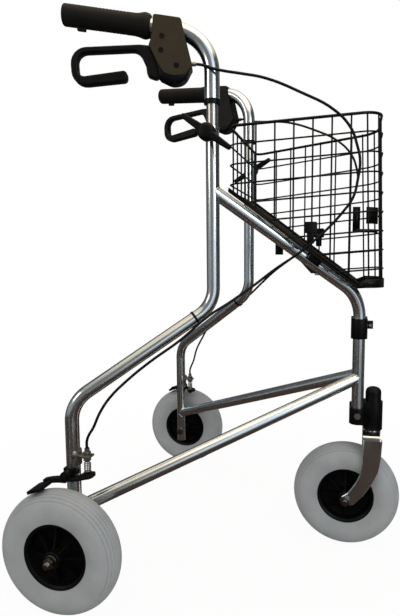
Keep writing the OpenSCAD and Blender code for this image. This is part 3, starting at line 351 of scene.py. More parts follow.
def piece(name, work, body, slot, material, *nodes, sharp=38):
    """Makes a finished mesh into a piece that rides on a body and stands for solids."""
    mesh = bpy.data.meshes.new(name)
    bmesh.ops.recalc_face_normals(work, faces=work.faces)
    work.to_mesh(mesh)
    work.free()
    mesh.materials.append(material)
    for face in mesh.polygons:
        face.use_smooth = True
    mesh.set_sharp_from_angle(angle=math.radians(sharp))
    thing = bpy.data.objects.new(name, mesh)
    bpy.context.scene.collection.objects.link(thing)
    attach(thing, body)
    if nodes:
        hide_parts(*nodes)
    return thing


def frame_matrix(hand):
    """From a side frame's axes, X to the rear from the hinge tube and Y outwards, in mm, to the object's."""
    along = Vector((-math.cos(open_angle), -hand * math.sin(open_angle), 0))
    out = Vector((math.sin(open_angle), -hand * math.cos(open_angle), 0))
    turn = Matrix((along, out, (0, 0, 1))).transposed().to_4x4()
    return Matrix.Scale(MM, 4) @ Matrix.Translation((hinge_x, -hand * hinge_half, 0)) @ turn


# A bead follows the line where a sloping tube of the same size meets an upright tube
rail_slope = (rail_high - rail_low) / upright_at
bar_slope = (bar_rear - bar_front) / leg_at
weld_spots = (
    (upright_at, rail_high, -1, rail_slope), (leg_at, bar_rear, -1, bar_slope), (0, bar_front, 1, bar_slope),
)
for side, hand in sides:
    paint(plated_steel, side + "_main_tube", side + "_front_tube", side + "_lower_bar", side + "_handle_tube")
    lines = []
    for at, height, way, slope in weld_spots:
        line = []
        lean = math.atan(slope)
        for step in range(32):
            a = 2 * math.pi * step / 32
            across = tube_r * math.cos(a) * 0.985
            along = way * math.sqrt(tube_r ** 2 - across ** 2)
            rise = tube_r * math.sin(a) / math.cos(lean) + slope * along
            line.append(frame_matrix(hand) @ Vector((at + along, across, height + rise)))
        lines.append(line)
    beads, middle = wires(side + "_weld_beads", lines, bead * MM, 2, plated_steel, closed=(0, 1, 2))
    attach(beads, side + "_frame")

# Rear axles and front axle: zinc-plated bolts with washers and hex nuts, the thread showing past the nut.
# The rear ones go through the leg into the wheel, the front one through both fork legs.
leg_x = -214.37
leg_y = -257.09
wheel_r = 100
front_x = 214.37
axle_r = 5
washer_r = 5.05
hub_out = 69.9
axle_pitch = 1.75

# Bright zinc plate: satin grey-white with a fine crystal mottle
zinc_plate, tree = blank_material("bright_zinc_plate")
spot = add(tree, "ShaderNodeTexCoord", {})
crystal = add(tree, "ShaderNodeTexVoronoi", {"Vector": spot.outputs["Object"], "Scale": 1 / 0.0025})
tone = add(tree, "ShaderNodeMix", data_type="RGBA", inputs={
    "Factor": crystal.outputs["Distance"], "A": linear("#8F8D87"), "B": linear("#B3B1AA")})
gloss = add(tree, "ShaderNodeMapRange",
            {"Value": crystal.outputs["Distance"], "To Min": 0.24, "To Max": 0.42})
shell = add(tree, "ShaderNodeBsdfPrincipled",
            {"Base Color": tone.outputs["Result"], "Metallic": 1.0, "Roughness": gloss.outputs["Result"]})
add(tree, "ShaderNodeOutputMaterial", {"Surface": shell.outputs["BSDF"]})

# Shade-darkened axle steel: the same plate painted darker as painted shade, for the dim reflections the axles
# catch, with a mottle
axle_steel, tree = blank_material("shade_darkened_axle_steel")
spot = add(tree, "ShaderNodeTexCoord", {})
axle_mottle = add(tree, "ShaderNodeTexNoise", {"Vector": spot.outputs["Object"], "Scale": 1 / 0.004, "Detail": 3})
# Painted shade: both tones are kept dark so the axles look dim where their reflections would be bright
tone = add(tree, "ShaderNodeMix", data_type="RGBA", inputs={
    "Factor": axle_mottle.outputs["Fac"], "A": linear("#4B4945"), "B": linear("#7C7A75")})
gloss = add(tree, "ShaderNodeMapRange", {"Value": axle_mottle.outputs["Fac"], "To Min": 0.28, "To Max": 0.46})
shell = add(tree, "ShaderNodeBsdfPrincipled",
            {"Base Color": tone.outputs["Result"], "Metallic": 1.0, "Roughness": gloss.outputs["Result"]})
add(tree, "ShaderNodeOutputMaterial", {"Surface": shell.outputs["BSDF"]})


def join(work, shape, place):
    """Adds a shape that was made at the origin, in mm, to a piece at its place."""
    bmesh.ops.transform(shape, matrix=place, verts=shape.verts)
    mesh = bpy.data.meshes.new("shape")
    shape.to_mesh(mesh)
    shape.free()
    work.from_mesh(mesh)
    bpy.data.meshes.remove(mesh)


def lathe(work, profile, steps, place):
    """Spins a closed outline of radius and height round Z and adds it to a piece."""
    shape = bmesh.new()
    verts = [shape.verts.new((r, 0, h)) for r, h in profile]
    edges = [shape.edges.new(pair) for pair in zip(verts, verts[1:] + verts[:1])]
    bmesh.ops.spin(shape, geom=verts + edges, cent=(0, 0, 0), axis=(0, 0, 1), angle=2 * math.pi, steps=steps,
                   use_merge=True)
    bmesh.ops.remove_doubles(shape, verts=shape.verts, dist=1e-4)
    bmesh.ops.dissolve_degenerate(shape, edges=shape.edges, dist=1e-4)
    join(work, shape, place)


def ease(shape, edges, width, segments):
    """Rounds some edges of a shape."""
    bmesh.ops.bevel(shape, geom=edges, offset=width, offset_type="OFFSET", segments=segments, profile=0.5,
                    affect="EDGES", clamp_overlap=True, material=-1)


def hexagon(work, across, low, high, edge, place):
    """Adds a hex nut or bolt head with its rims eased."""
    shape = bmesh.new()
    radius = across / math.sqrt(3)
    bmesh.ops.create_cone(shape, cap_ends=True, segments=6, radius1=radius, radius2=radius, depth=high - low)
    rims = [e for e in shape.edges if abs(e.verts[0].co.z - e.verts[1].co.z) < 0.1]
    ease(shape, rims, edge, 2)
    bmesh.ops.translate(shape, verts=shape.verts, vec=(0, 0, (low + high) / 2))
    join(work, shape, place)


def axle_matrix(x, y, z, hand):
    """Z along the axle, outwards to that hand, in mm, to the object's metres."""
    turn = Matrix(((1, 0, 0), (0, 0, -hand), (0, hand, 0))).to_4x4()
    return Matrix.Scale(MM, 4) @ Matrix.Translation((x, y, z)) @ turn


def thread(radius, low, high):
    """Profile of a bolt's threaded end, drawn as rings."""
    points = []
    h = low
    while h < high - axle_pitch:
        points += [(radius, h), (radius - 0.7, h + axle_pitch / 2)]
        h += axle_pitch
    return points + [(radius - 0.3, high - 0.8), (radius - 1.2, high)]


for side, hand in sides:
    work = bmesh.new()
    place = axle_matrix(leg_x, hand * leg_y, wheel_r, hand)
    tip = hub_out + 16
    shank = [(0, -tube_r), (axle_r, -tube_r)] + thread(axle_r, hub_out + 3, tip) + [(0, tip)]
    lathe(work, shank, 32, place)
    hexagon(work, 16, -17.2, -11.2, 0.7, place)
    lathe(work, [(washer_r, 11.2), (8, 11.2), (8, 15.4), (washer_r, 15.4)], 32, place)
    washer = ((washer_r, 0.3), (10, 0.3), (10, 1.9), (9.6, 2.3), (washer_r, 2.3))
    lathe(work, [(r, hub_out + h) for r, h in washer], 32, place)
    hexagon(work, 16, hub_out + 2.4, hub_out + 9.3, 0.8, place)
    piece(side + "_axle", work, side + "_frame", "steel_fasteners", axle_steel, side + "_rear_axle")
    paint(zinc_plate, side + "_knob_screw")
fork_out = 36
work = bmesh.new()
for side, hand in sides:
    place = axle_matrix(front_x, 0, wheel_r, hand)
    tip = fork_out + 11
    lathe(work, [(0, 0), (axle_r, 0)] + thread(axle_r, fork_out + 8.5, tip) + [(0, tip)], 32, place)
    hexagon(work, 16, fork_out + 0.1, fork_out + 8.1, 0.9, place)
piece("front_axle_bolt", work, "caster", "steel_fasteners", axle_steel, "front_axle")
paint(zinc_plate, "caster_bearings", "caster_stem")
paint(plated_steel, "head_bolts")

# Tyres: solid foamed rubber, non-marking grey, moulded in one ring with fine grooves round the tread.
# They are stretched over the hubs and stay there by their own grip.
wheel_y = -299.99
tyre_mid = 75
tyre_half = 25
rim_r = 53
seat_gap = 0.05
side_half = 18.5
groove_half = 2.4
groove_deep = 1.0
groove_turns = (-52, -38, -24, -10, 10, 24, 38, 52)

# Foamed polyurethane: matt mid grey, with a fine skin and dust-dulled patches
grey_tyre, tree = blank_material("foamed_grey_rubber")
spot = add(tree, "ShaderNodeTexCoord", {})
cloud = add(tree, "ShaderNodeTexNoise", {"Vector": spot.outputs["Object"], "Scale": 1 / 0.035, "Detail": 5})
tone = add(tree, "ShaderNodeMix", data_type="RGBA", inputs={
    "Factor": cloud.outputs["Fac"], "A": linear("#878C8F"), "B": linear("#A1A5A7")})
skin = add(tree, "ShaderNodeTexNoise", {"Vector": spot.outputs["Object"], "Scale": 1 / 0.0016, "Detail": 2})
relief = add(tree, "ShaderNodeBump", {"Height": skin.outputs["Fac"], "Strength": 0.12, "Distance": 0.0004})
gloss = add(tree, "ShaderNodeMapRange", {"Value": cloud.outputs["Fac"], "To Min": 0.5, "To Max": 0.7})
shell = add(tree, "ShaderNodeBsdfPrincipled",
            {"Base Color": tone.outputs["Result"], "Roughness": gloss.outputs["Result"], "IOR": 1.5,
             "Normal": relief.outputs["Normal"]})
add(tree, "ShaderNodeOutputMaterial", {"Surface": shell.outputs["BSDF"]})

tread = []
for turn_at in range(-80, 81, 2):
    near = min(groove_turns, key=lambda g: abs(g - turn_at))
    sunk = groove_deep * max(0, 1 - abs(turn_at - near) / groove_half) ** 0.7
    a = math.radians(turn_at)
    tread.append((tyre_mid + (tyre_half - sunk) * math.cos(a), (tyre_half - sunk) * math.sin(a)))
wall = []
for step in range(9):
    t = step / 8
    r = tyre_mid + (rim_r + seat_gap - tyre_mid) * t
    wall.append((r, side_half + (tyre_half - side_half) * math.cos(math.pi / 2 * t)))
tyre_profile = tread + wall + [(r, -h) for r, h in reversed(wall)]
wheels = [(side, hand, leg_x, hand * wheel_y, side + "_wheel", 27) for side, hand in sides]
wheels.append(("front", 1, front_x, 0, "front_wheel", 30.4))
for name, hand, x, y, body, half in wheels:
    work = bmesh.new()
    lathe(work, tyre_profile, 120, axle_matrix(x, y, wheel_r, hand))
    piece(name + "_tyre_ring", work, body, "grey_tyre", grey_tyre, name + "_tyre", sharp=60)

# Hubs: black moulded nylon, a deep dish with a rim that the tyre sits on, a boss on the axle
# and eight thin ribs on each face.
hub_ribs = 8
rib_half = 1.1
dish = 4

# Moulded nylon: near black, with the fine spark-eroded grain of the mould and a soft sheen
black_plastic, tree = blank_material("moulded_black_nylon")
spot = add(tree, "ShaderNodeTexCoord", {})
grain = add(tree, "ShaderNodeTexNoise", {"Vector": spot.outputs["Object"], "Scale": 1 / 0.0012, "Detail": 3})
cloud = add(tree, "ShaderNodeTexNoise", {"Vector": spot.outputs["Object"], "Scale": 1 / 0.02, "Detail": 3})
tone = add(tree, "ShaderNodeMix", data_type="RGBA", inputs={
    "Factor": cloud.outputs["Fac"], "A": linear("#040404"), "B": linear("#0A0A0A")})
gloss = add(tree, "ShaderNodeMapRange", {"Value": cloud.outputs["Fac"], "To Min": 0.34, "To Max": 0.5})
relief = add(tree, "ShaderNodeBump", {"Height": grain.outputs["Fac"], "Strength": 0.15, "Distance": 0.0002})
shell = add(tree, "ShaderNodeBsdfPrincipled",
            {"Base Color": tone.outputs["Result"], "Roughness": gloss.outputs["Result"], "IOR": 1.5,
             "Specular IOR Level": 0.15, "Normal": relief.outputs["Normal"]})
add(tree, "ShaderNodeOutputMaterial", {"Surface": shell.outputs["BSDF"]})


def verts_of(geom):
    """The vertices among what an operator gives back."""
    return [v for v in geom if isinstance(v, bmesh.types.BMVert)]


def slab(shape, points, way):
    """A face through points, extruded one way."""
    flat = shape.faces.new([shape.verts.new(p) for p in points])
    grown = bmesh.ops.extrude_face_region(shape, geom=[flat])["geom"]
    bmesh.ops.translate(shape, verts=verts_of(grown), vec=way)


for name, hand, x, y, body, half in wheels:
    work = bmesh.new()
    place = axle_matrix(x, y, wheel_r, hand)
    face = [
        (rim_r, 19), (rim_r - 0.8, 19), (50.5, 18.4), (47.5, 16), (46, 9), (44, dish + 1.2), (40, dish),
        (19, dish), (16, dish + 1.5), (14, 10),
        (13.4, half - 1), (12.4, half), (6.8, half), (5.15, half - 1.2),
    ]
    lathe(work, face + [(r, -h) for r, h in reversed(face)], 96, place)
    for turn_at in range(hub_ribs):
        for way in (1, -1):
            shape = bmesh.new()
            rib = [(13.5, dish - 1), (46.5, dish - 1), (46.8, 12), (30, 14), (13.2, 21)]
            slab(shape, [(r, -rib_half, h * way) for r, h in rib], (0, 2 * rib_half, 0))
            join(work, shape, place @ Matrix.Rotation(2 * math.pi * turn_at / hub_ribs, 4, "Z"))
    piece(name + "_hub_wheel", work, body, "black_plastic", black_plastic, name + "_hub")

# Wheel brakes: a zinc-plated bracket clamped on the rear leg, the cable's threaded adjuster, a coiled return
# spring and a black coated steel arm whose curved shoe presses on the tyre.
spring_r = 5
spring_low = 212.1
spring_high = 228.9
spring_curls = 6
spring_wire_r = 0.8
adjuster_x = 25
saddle_low = 223


def eased_copy(node, width, lean, segments, low=-1, high=2):
    """A copy of a moulded or pressed solid, or of its parts between two heights, with its edges eased."""
    work = bmesh.new()
    work.from_mesh(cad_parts[node].data)
    bmesh.ops.remove_doubles(work, verts=work.verts, dist=1e-6)
    apart = [v for v in work.verts if not low < v.co.z < high]
    bmesh.ops.delete(work, geom=apart, context="VERTS")
    bmesh.ops.dissolve_limit(work, angle_limit=math.radians(0.6), verts=work.verts, edges=work.edges)
    edges = [e for e in work.edges if len(e.link_faces) == 2 and e.calc_face_angle(0) > math.radians(lean)]
    ease(work, edges, width, segments)
    return work


def softened(node, width, lean, name, body, slot, material, segments=2):
    """An eased copy that stands for its solid."""
    return piece(name, eased_copy(node, width, lean, segments), body, slot, material, node)


# Black powder coat on pressed steel: fine orange peel with a dull gloss
black_coat, tree = blank_material("black_powder_coat")
spot = add(tree, "ShaderNodeTexCoord", {})
peel = add(tree, "ShaderNodeTexNoise", {"Vector": spot.outputs["Object"], "Scale": 1 / 0.002, "Detail": 2})
tone = add(tree, "ShaderNodeMix", data_type="RGBA", inputs={
    "Factor": peel.outputs["Fac"], "A": linear("#060606"), "B": linear("#0F0E0E")})
gloss = add(tree, "ShaderNodeMapRange", {"Value": peel.outputs["Fac"], "To Min": 0.3, "To Max": 0.5})
relief = add(tree, "ShaderNodeBump", {"Height": peel.outputs["Fac"], "Strength": 0.2, "Distance": 0.0002})
shell = add(tree, "ShaderNodeBsdfPrincipled",
            {"Base Color": tone.outputs["Result"], "Roughness": gloss.outputs["Result"], "IOR": 1.5,
             "Specular IOR Level": 0.15, "Normal": relief.outputs["Normal"]})
add(tree, "ShaderNodeOutputMaterial", {"Surface": shell.outputs["BSDF"]})

for side, hand in sides:
    work = eased_copy(side + "_brake_bracket", 0.5 * MM, 35, 2, low=saddle_low * MM)
    piece(side + "_bracket", work, side + "_frame", "steel_fasteners", zinc_plate, side + "_brake_bracket")
    work = eased_copy(side + "_brake_bracket", 0.5 * MM, 35, 2, high=saddle_low * MM)
    piece(side + "_arm_pivot", work, side + "_frame", "steel_fasteners", black_coat)
    softened(side + "_brake_arm", 1.0 * MM, 35, side + "_arm", side + "_brake", "black_arm", black_coat)
    paint(zinc_plate, side + "_cable_adjuster")
    coil = []
    for step in range(16 * spring_curls + 1):
        a = 2 * math.pi * step / 16
        height = spring_low + (spring_high - spring_low) * step / (16 * spring_curls)
        coil.append(Vector((leg_x + adjuster_x + spring_r * math.cos(a),
                            hand * (leg_y + spring_r * math.sin(a)), height)) * MM)
    spring, middle = wires(side + "_spring", [coil], spring_wire_r * MM, 2, zinc_plate)
    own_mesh(spring)
    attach(spring, side + "_frame")
    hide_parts(side + "_brake_spring")

# Handle posts and rings: satin steel tube that slides in the upright, with a black plastic ring where the
# bent handle tube is pressed over it.

# Ground steel: fine rings from the belt, drawn coarser than the real scratches so that they show
satin_steel, tree = blank_material("satin_ground_steel")
spot = add(tree, "ShaderNodeTexCoord", {})
lay = add(tree, "ShaderNodeMapping", {"Vector": spot.outputs["Object"], "Scale": (1, 1, 30)})
scratch = add(tree, "ShaderNodeTexNoise", {"Vector": lay.outputs["Vector"], "Scale": 1 / 0.03, "Detail": 6})
tone = add(tree, "ShaderNodeMix", data_type="RGBA", inputs={
    "Factor": scratch.outputs["Fac"], "A": linear("#A8A49D"), "B": linear("#C4C0B8")})
gloss = add(tree, "ShaderNodeMapRange", {"Value": scratch.outputs["Fac"], "To Min": 0.2, "To Max": 0.4})
shell = add(tree, "ShaderNodeBsdfPrincipled",
            {"Base Color": tone.outputs["Result"], "Metallic": 1.0, "Roughness": gloss.outputs["Result"]})
add(tree, "ShaderNodeOutputMaterial", {"Surface": shell.outputs["BSDF"]})
for side, hand in sides:
    paint(satin_steel, side + "_handle_post")
    paint(black_plastic, side + "_handle_ring")

# Grips: soft black rubber moulded over the handle tube, with a swollen front, a plain barrel with shallow
# rings for the fingers, a flat end and a small tab below.
upright_x = -8.53
upright_y = -145.80
handle_corner = 910.5
splay = math.radians(15)
rise = math.radians(6.9)
grip_from = 97.5
grip_to = 235.5
grip_r = 16.5
flare_r = 19.5
bore_r = 12.55

# Soft PVC rubber: matt black that catches a broad grey light along its top, with fine pores
grip_rubber, tree = blank_material("soft_grip_rubber")
spot = add(tree, "ShaderNodeTexCoord", {})
pores = add(tree, "ShaderNodeTexNoise", {"Vector": spot.outputs["Object"], "Scale": 1 / 0.0015, "Detail": 4})
cloud = add(tree, "ShaderNodeTexNoise", {"Vector": spot.outputs["Object"], "Scale": 1 / 0.03, "Detail": 3})
tone = add(tree, "ShaderNodeMix", data_type="RGBA", inputs={
    "Factor": cloud.outputs["Fac"], "A": linear("#0A0908"), "B": linear("#141210")})
gloss = add(tree, "ShaderNodeMapRange", {"Value": cloud.outputs["Fac"], "To Min": 0.5, "To Max": 0.68})
relief = add(tree, "ShaderNodeBump", {"Height": pores.outputs["Fac"], "Strength": 0.25, "Distance": 0.0003})
shell = add(tree, "ShaderNodeBsdfPrincipled",
            {"Base Color": tone.outputs["Result"], "Roughness": gloss.outputs["Result"], "IOR": 1.5,
             "Specular IOR Level": 0.15, "Normal": relief.outputs["Normal"]})
add(tree, "ShaderNodeOutputMaterial", {"Surface": shell.outputs["BSDF"]})

grip_front = ((bore_r, 0), (16.2, 0), (17.2, 0.8), (18.6, 4), (flare_r, 8), (19.2, 11.5), (18.2, 15),
              (17.2, 19), (grip_r, 25))
grip_back = ((grip_r, 14), (16.5, 3), (16.1, 1), (15, 0), (0, 0), (0, 5.5), (bore_r, 5.5))
grip_profile = [(r, grip_from + h) for r, h in grip_front]
for ring in range(9):
    h = grip_from + 38 + 5.5 * ring
    grip_profile += [(grip_r, h), (grip_r - 0.5, h + 0.8), (grip_r - 0.5, h + 1.6), (grip_r, h + 2.4)]
grip_profile += [(r, grip_to - h) for r, h in grip_back]
for side, hand in sides:
    along = Vector((-math.cos(splay) * math.cos(rise), -hand * math.sin(splay) * math.cos(rise),
                    math.sin(rise)))
    out = Vector((math.sin(splay), -hand * math.cos(splay), 0))
    under = along.cross(out) * hand
    turn = Matrix((under, out, along)).transposed().to_4x4()
    place = Matrix.Scale(MM, 4) @ Matrix.Translation((upright_x, hand * upright_y, handle_corner)) @ turn
    work = bmesh.new()
    lathe(work, grip_profile, 64, place)
    tab = bmesh.new()
    bmesh.ops.create_cube(tab, size=1)
    bmesh.ops.scale(tab, verts=tab.verts, vec=(8, 6, 14))
    bmesh.ops.translate(tab, verts=tab.verts, vec=(-grip_r - 1, 0, grip_from + 108))
    ease(tab, tab.edges, 1.5, 3)
    join(work, tab, place)
    piece(side + "_hand_grip", work, side + "_handle", "grip_rubber", grip_rubber, side + "_grip")

# Brake housings and levers: a moulding clamped round the handle tube, with a brown-black outer cover held by
# three sunk screws, a black loop lever on a pin in its slot, and a plated ferrule for the cable. The
# moulding's rims, underside and inner cover are black nylon as painted shade, darker than the brown-black
# cover.
housing_half = 15
cheek_t = 6.6
cheek_from = 0.5
cover_t = 2.6
middle_lap = 0.2
face_loop = 0.3
screw_places = ((78, 902.2), (80, 881), (56, 858))
recess_r = 4.4
recess_deep = 2
pivot = (80, 881)
droop = math.radians(3)
lever_half = 8
ferrule_at = (30, 861.5, -11)
housing_corners = ((48, 931, 5), (92, 936.5, 4), (95, 903, 8), (100, 890, 3), (88, 862, 16), (85, 841, 8),
                   (64, 831, 22), (43, 834, 22), (31, 860, 16), (41, 900, 20))
cover_corners = ((48.8, 930.2, 4.4), (91.2, 935.6, 3.4), (94.2, 903, 8), (98.5, 888.5, 3), (86, 863, 14),
                 (76, 847, 10), (60, 843, 14), (42, 845, 8), (31.2, 858.5, 5), (41.8, 900, 20))
middle_corners = ((48, 931, 5), (92, 936.5, 4), (94.6, 897.6, 1), (68, 896, 6), (66, 872, 8), (63, 832, 0.6),
                  (43, 834, 22), (31, 860, 16), (41, 900, 20))
lever_corners = ((-9, 6, 3), (2, 9, 3), (34, 13.5, 4), (145, 13.5, 26), (145, -46.5, 22), (57, -41.5, 7),
                 (57, -24.5, 6), (134, -31.5, 9), (134, 4.5, 15), (36, 4.5, 16), (26, -20, 12), (25, -35, 7),
                 (12, -40, 6), (-5, -33, 6))


def handle_matrix(hand):
    """From a handle's own plane, X back from the post, Y by height and Z inwards, to the object's, in mm."""
    back = Vector((-math.cos(splay), -hand * math.sin(splay), 0))
    inward = Vector((-math.sin(splay), hand * math.cos(splay), 0))
    turn = Matrix((back, (0, 0, 1), inward)).transposed().to_4x4()
    return Matrix.Scale(MM, 4) @ Matrix.Translation((upright_x, hand * upright_y, 0)) @ turn


def rounded(corners, steps=6):
    """The points of an outline whose corners, each an x, a y and a radius, are rounded by arcs."""
    points = []
    count = len(corners)
    for i, (x, y, radius) in enumerate(corners):
        corner = Vector((x, y))
        before = (Vector(corners[i - 1][:2]) - corner).normalized()
        after = (Vector(corners[(i + 1) % count][:2]) - corner).normalized()
        if radius == 0:
            points.append(corner)
            continue
        half = before.angle(after) / 2
        middle = corner + (before + after).normalized() * radius / math.sin(half)
        start = corner + before * radius / math.tan(half) - middle
        way = 1 if before.y * after.x - before.x * after.y > 0 else -1
        for step in range(steps + 1):
            points.append(middle + Matrix.Rotation(way * (math.pi - 2 * half) * step / steps, 2) @ start)
    return points


def plate(work, corners, low, high, edge, place, segments=3, only=None):
    """Adds a plate with a rounded outline and eased rims, or only the rim at one height, to a piece."""
    shape = bmesh.new()
    slab(shape, [(x, y, low) for x, y in rounded(corners)], (0, 0, high - low))
    rims = [e for e in shape.edges if abs(e.verts[0].co.z - e.verts[1].co.z) < 1e-4]
    if only is not None:
        rims = [e for e in rims if abs(e.verts[0].co.z - only) < 1e-4]
    ease(shape, rims, edge, segments)
    broad = sorted(shape.faces, key=lambda f: f.calc_area())[-2:]
    bmesh.ops.inset_individual(shape, faces=broad, thickness=face_loop, use_even_offset=True)
    join(work, shape, place)


def loft(shape, outlines):
    """Bridges rounded outlines, each with its height, into a skin and gives the rings of edges."""
    rings = []
    for corners, height in outlines:
        verts = [shape.verts.new((x, y, height)) for x, y in rounded(corners)]
        rings.append([shape.edges.new(pair) for pair in zip(verts, verts[1:] + verts[:1])])
    for first, second in zip(rings, rings[1:]):
        bmesh.ops.bridge_loops(shape, edges=first + second)
    bmesh.ops.edgeloop_fill(shape, edges=rings[-1])
    return rings


def body_half(work, place):
    """Adds one half of a housing's body, swelling from under the cover to the full outline."""
    shape = bmesh.new()
    outlines = []
    for step in range(1, 7):
        a = math.pi / 2 * step / 6
        pairs = zip(cover_corners, housing_corners)
        corners = [[p + (q - p) * math.sin(a) for p, q in zip(c, d)] for c, d in pairs]
        outlines.append((corners, cheek_from + (cheek_t - cheek_from) * (1 - math.cos(a))))
    rings = loft(shape, outlines)
    bmesh.ops.edgeloop_fill(shape, edges=rings[0])
    join(work, shape, place)


def cover(work, recesses, place):
    """Adds one cover of a housing, a thick plate with an eased rim and sunk places for screws."""
    shape = bmesh.new()
    middle = sum((Vector(c[:2]) for c in cover_corners), Vector((0, 0))) / len(cover_corners)
    inner = [(*(middle + (Vector(c[:2]) - middle) * 0.985), c[2]) for c in cover_corners]
    rings = loft(shape, [(inner, 0), (cover_corners, 0.6), (cover_corners, cover_t)])
    face_edges = list(rings[0])
    for x, y in recesses:
        made = bmesh.ops.create_circle(shape, cap_ends=False, segments=24, radius=recess_r,
                                       matrix=Matrix.Translation((x, y, 0)))
        lip = list({e for v in made["verts"] for e in v.link_edges})
        face_edges += lip
        grown = bmesh.ops.extrude_edge_only(shape, edges=lip)["geom"]
        sunk = verts_of(grown)
        bmesh.ops.translate(shape, verts=sunk, vec=(0, 0, recess_deep))
        bmesh.ops.edgeloop_fill(shape, edges=[e for e in grown if isinstance(e, bmesh.types.BMEdge)
                                              and e.verts[0] in sunk and e.verts[1] in sunk])
    filled = bmesh.ops.triangle_fill(shape, edges=face_edges, use_beauty=True)["geom"]
    faces = [f for f in filled if isinstance(f, bmesh.types.BMFace)]
    bmesh.ops.inset_region(shape, faces=faces, thickness=face_loop, use_boundary=True, use_even_offset=True)
    join(work, shape, place)


# Moulded ABS: brown-black with a leathery mould grain and a soft gloss on its edges
housing_plastic, tree = blank_material("moulded_brown_abs")
spot = add(tree, "ShaderNodeTexCoord", {})
grain = add(tree, "ShaderNodeTexNoise", {"Vector": spot.outputs["Object"], "Scale": 1 / 0.0014, "Detail": 4})
cloud = add(tree, "ShaderNodeTexNoise", {"Vector": spot.outputs["Object"], "Scale": 1 / 0.025, "Detail": 3})
tone = add(tree, "ShaderNodeMix", data_type="RGBA", inputs={
    "Factor": cloud.outputs["Fac"], "A": linear("#2A2418"), "B": linear("#342D1F")})
gloss = add(tree, "ShaderNodeMapRange", {"Value": grain.outputs["Fac"], "To Min": 0.42, "To Max": 0.6})
relief = add(tree, "ShaderNodeBump", {"Height": grain.outputs["Fac"], "Strength": 0.3, "Distance": 0.0003})
shell = add(tree, "ShaderNodeBsdfPrincipled",
            {"Base Color": tone.outputs["Result"], "Roughness": gloss.outputs["Result"], "IOR": 1.52,
             "Specular IOR Level": 0.15, "Normal": relief.outputs["Normal"]})
add(tree, "ShaderNodeOutputMaterial", {"Surface": shell.outputs["BSDF"]})
for side, hand in sides:
    place = handle_matrix(hand)
    work = bmesh.new()
    outer_face = Matrix.Translation((0, 0, -housing_half))
    inner_face = Matrix.Translation((0, 0, housing_half)) @ Matrix.Scale(-1, 4, (0, 0, 1))
    for turn in (outer_face, inner_face):
        body_half(work, place @ turn)
    middle_half = housing_half - cheek_t + middle_lap
    plate(work, middle_corners, -middle_half, middle_half, 0.3, place, 1)
    cover(work, (), place @ inner_face)
    # Painted shade: the housing body gets the black nylon, darker than its brown cover, for the shade on its
    # rims and underside
    piece(side + "_housing_body", work, side + "_handle", "housing_plastic", black_plastic,
          side + "_brake_housing")
    work = bmesh.new()
    cover(work, screw_places, place @ outer_face)
    piece(side + "_housing_covers", work, side + "_handle", "housing_plastic", housing_plastic)
    work = bmesh.new()
    for x, y in screw_places:
        lathe(work, [(0, 0), (4, 0), (4, -1.1), (3.6, -1.5), (2.3, -1.5), (2.1, -0.6), (0, -0.6)], 32,
              place @ Matrix.Translation((x, y, recess_deep - housing_half)))
    piece(side + "_housing_screws", work, side + "_handle", "steel_fasteners", black_coat)
    work = bmesh.new()
    lathe(work, [(0, -5), (2.6, -5), (3.4, -4.2), (3.4, 1), (3, 1.4), (3, 11), (0, 11)], 32,
          place @ Matrix.Translation(ferrule_at) @ Matrix.Rotation(math.pi / 2, 4, "Y"))
    piece(side + "_cable_ferrule", work, side + "_handle", "steel_fasteners", zinc_plate,
          side + "_housing_fittings")
    work = bmesh.new()
    turn = Matrix.Translation((*pivot, 0)) @ Matrix.Rotation(-droop, 4, "Z")
    plate(work, lever_corners, -lever_half, lever_half, 2.6, place @ turn)
    piece(side + "_loop_lever", work, side + "_lever", "black_plastic", black_plastic, side + "_brake_lever")

# Clamp knobs: black nylon wing nuts, a round boss with two tapered wings, moulded on the screws that
# hold the posts.
knob_z = 752
knob_in = 25.1
wing_turns = {"right": -35, "left": -30}
wing_corners = ((-48, -4, 3.5), (0, -7, 30), (48, -4, 3.5), (48, 4, 3.5), (0, 7, 30), (-48, 4, 3.5))
knob_profile = ((0, 0), (11.5, 0), (13.4, 1), (14, 2.6), (14, 12), (13.4, 14.5), (11.5, 16.4), (8, 17.4),
                (0, 17.6))
for side, hand in sides:
    work = bmesh.new()
    place = axle_matrix(upright_x, hand * upright_y, knob_z, hand)
    lathe(work, [(r, knob_in + h) for r, h in knob_profile], 48, place)
    turn = Matrix.Rotation(math.radians(wing_turns[side]), 4, "Z")
    plate(work, wing_corners, knob_in + 6, knob_in + 16, 2.6, place @ turn)
    piece(side + "_clamp_knob", work, side + "_knob", "black_plastic", black_plastic, side + "_wing_knob")

# Head: a black nylon block that holds both hinge tubes and the caster's bearings, and a collar above it.
# Both are moulded, and a bolt goes through the collar.
softened("head_block", 1.2 * MM, 40, "head_moulding", "front_head", "black_plastic", black_plastic)
softened("head_collar", 1.2 * MM, 40, "collar_moulding", "front_head", "black_plastic", black_plastic)

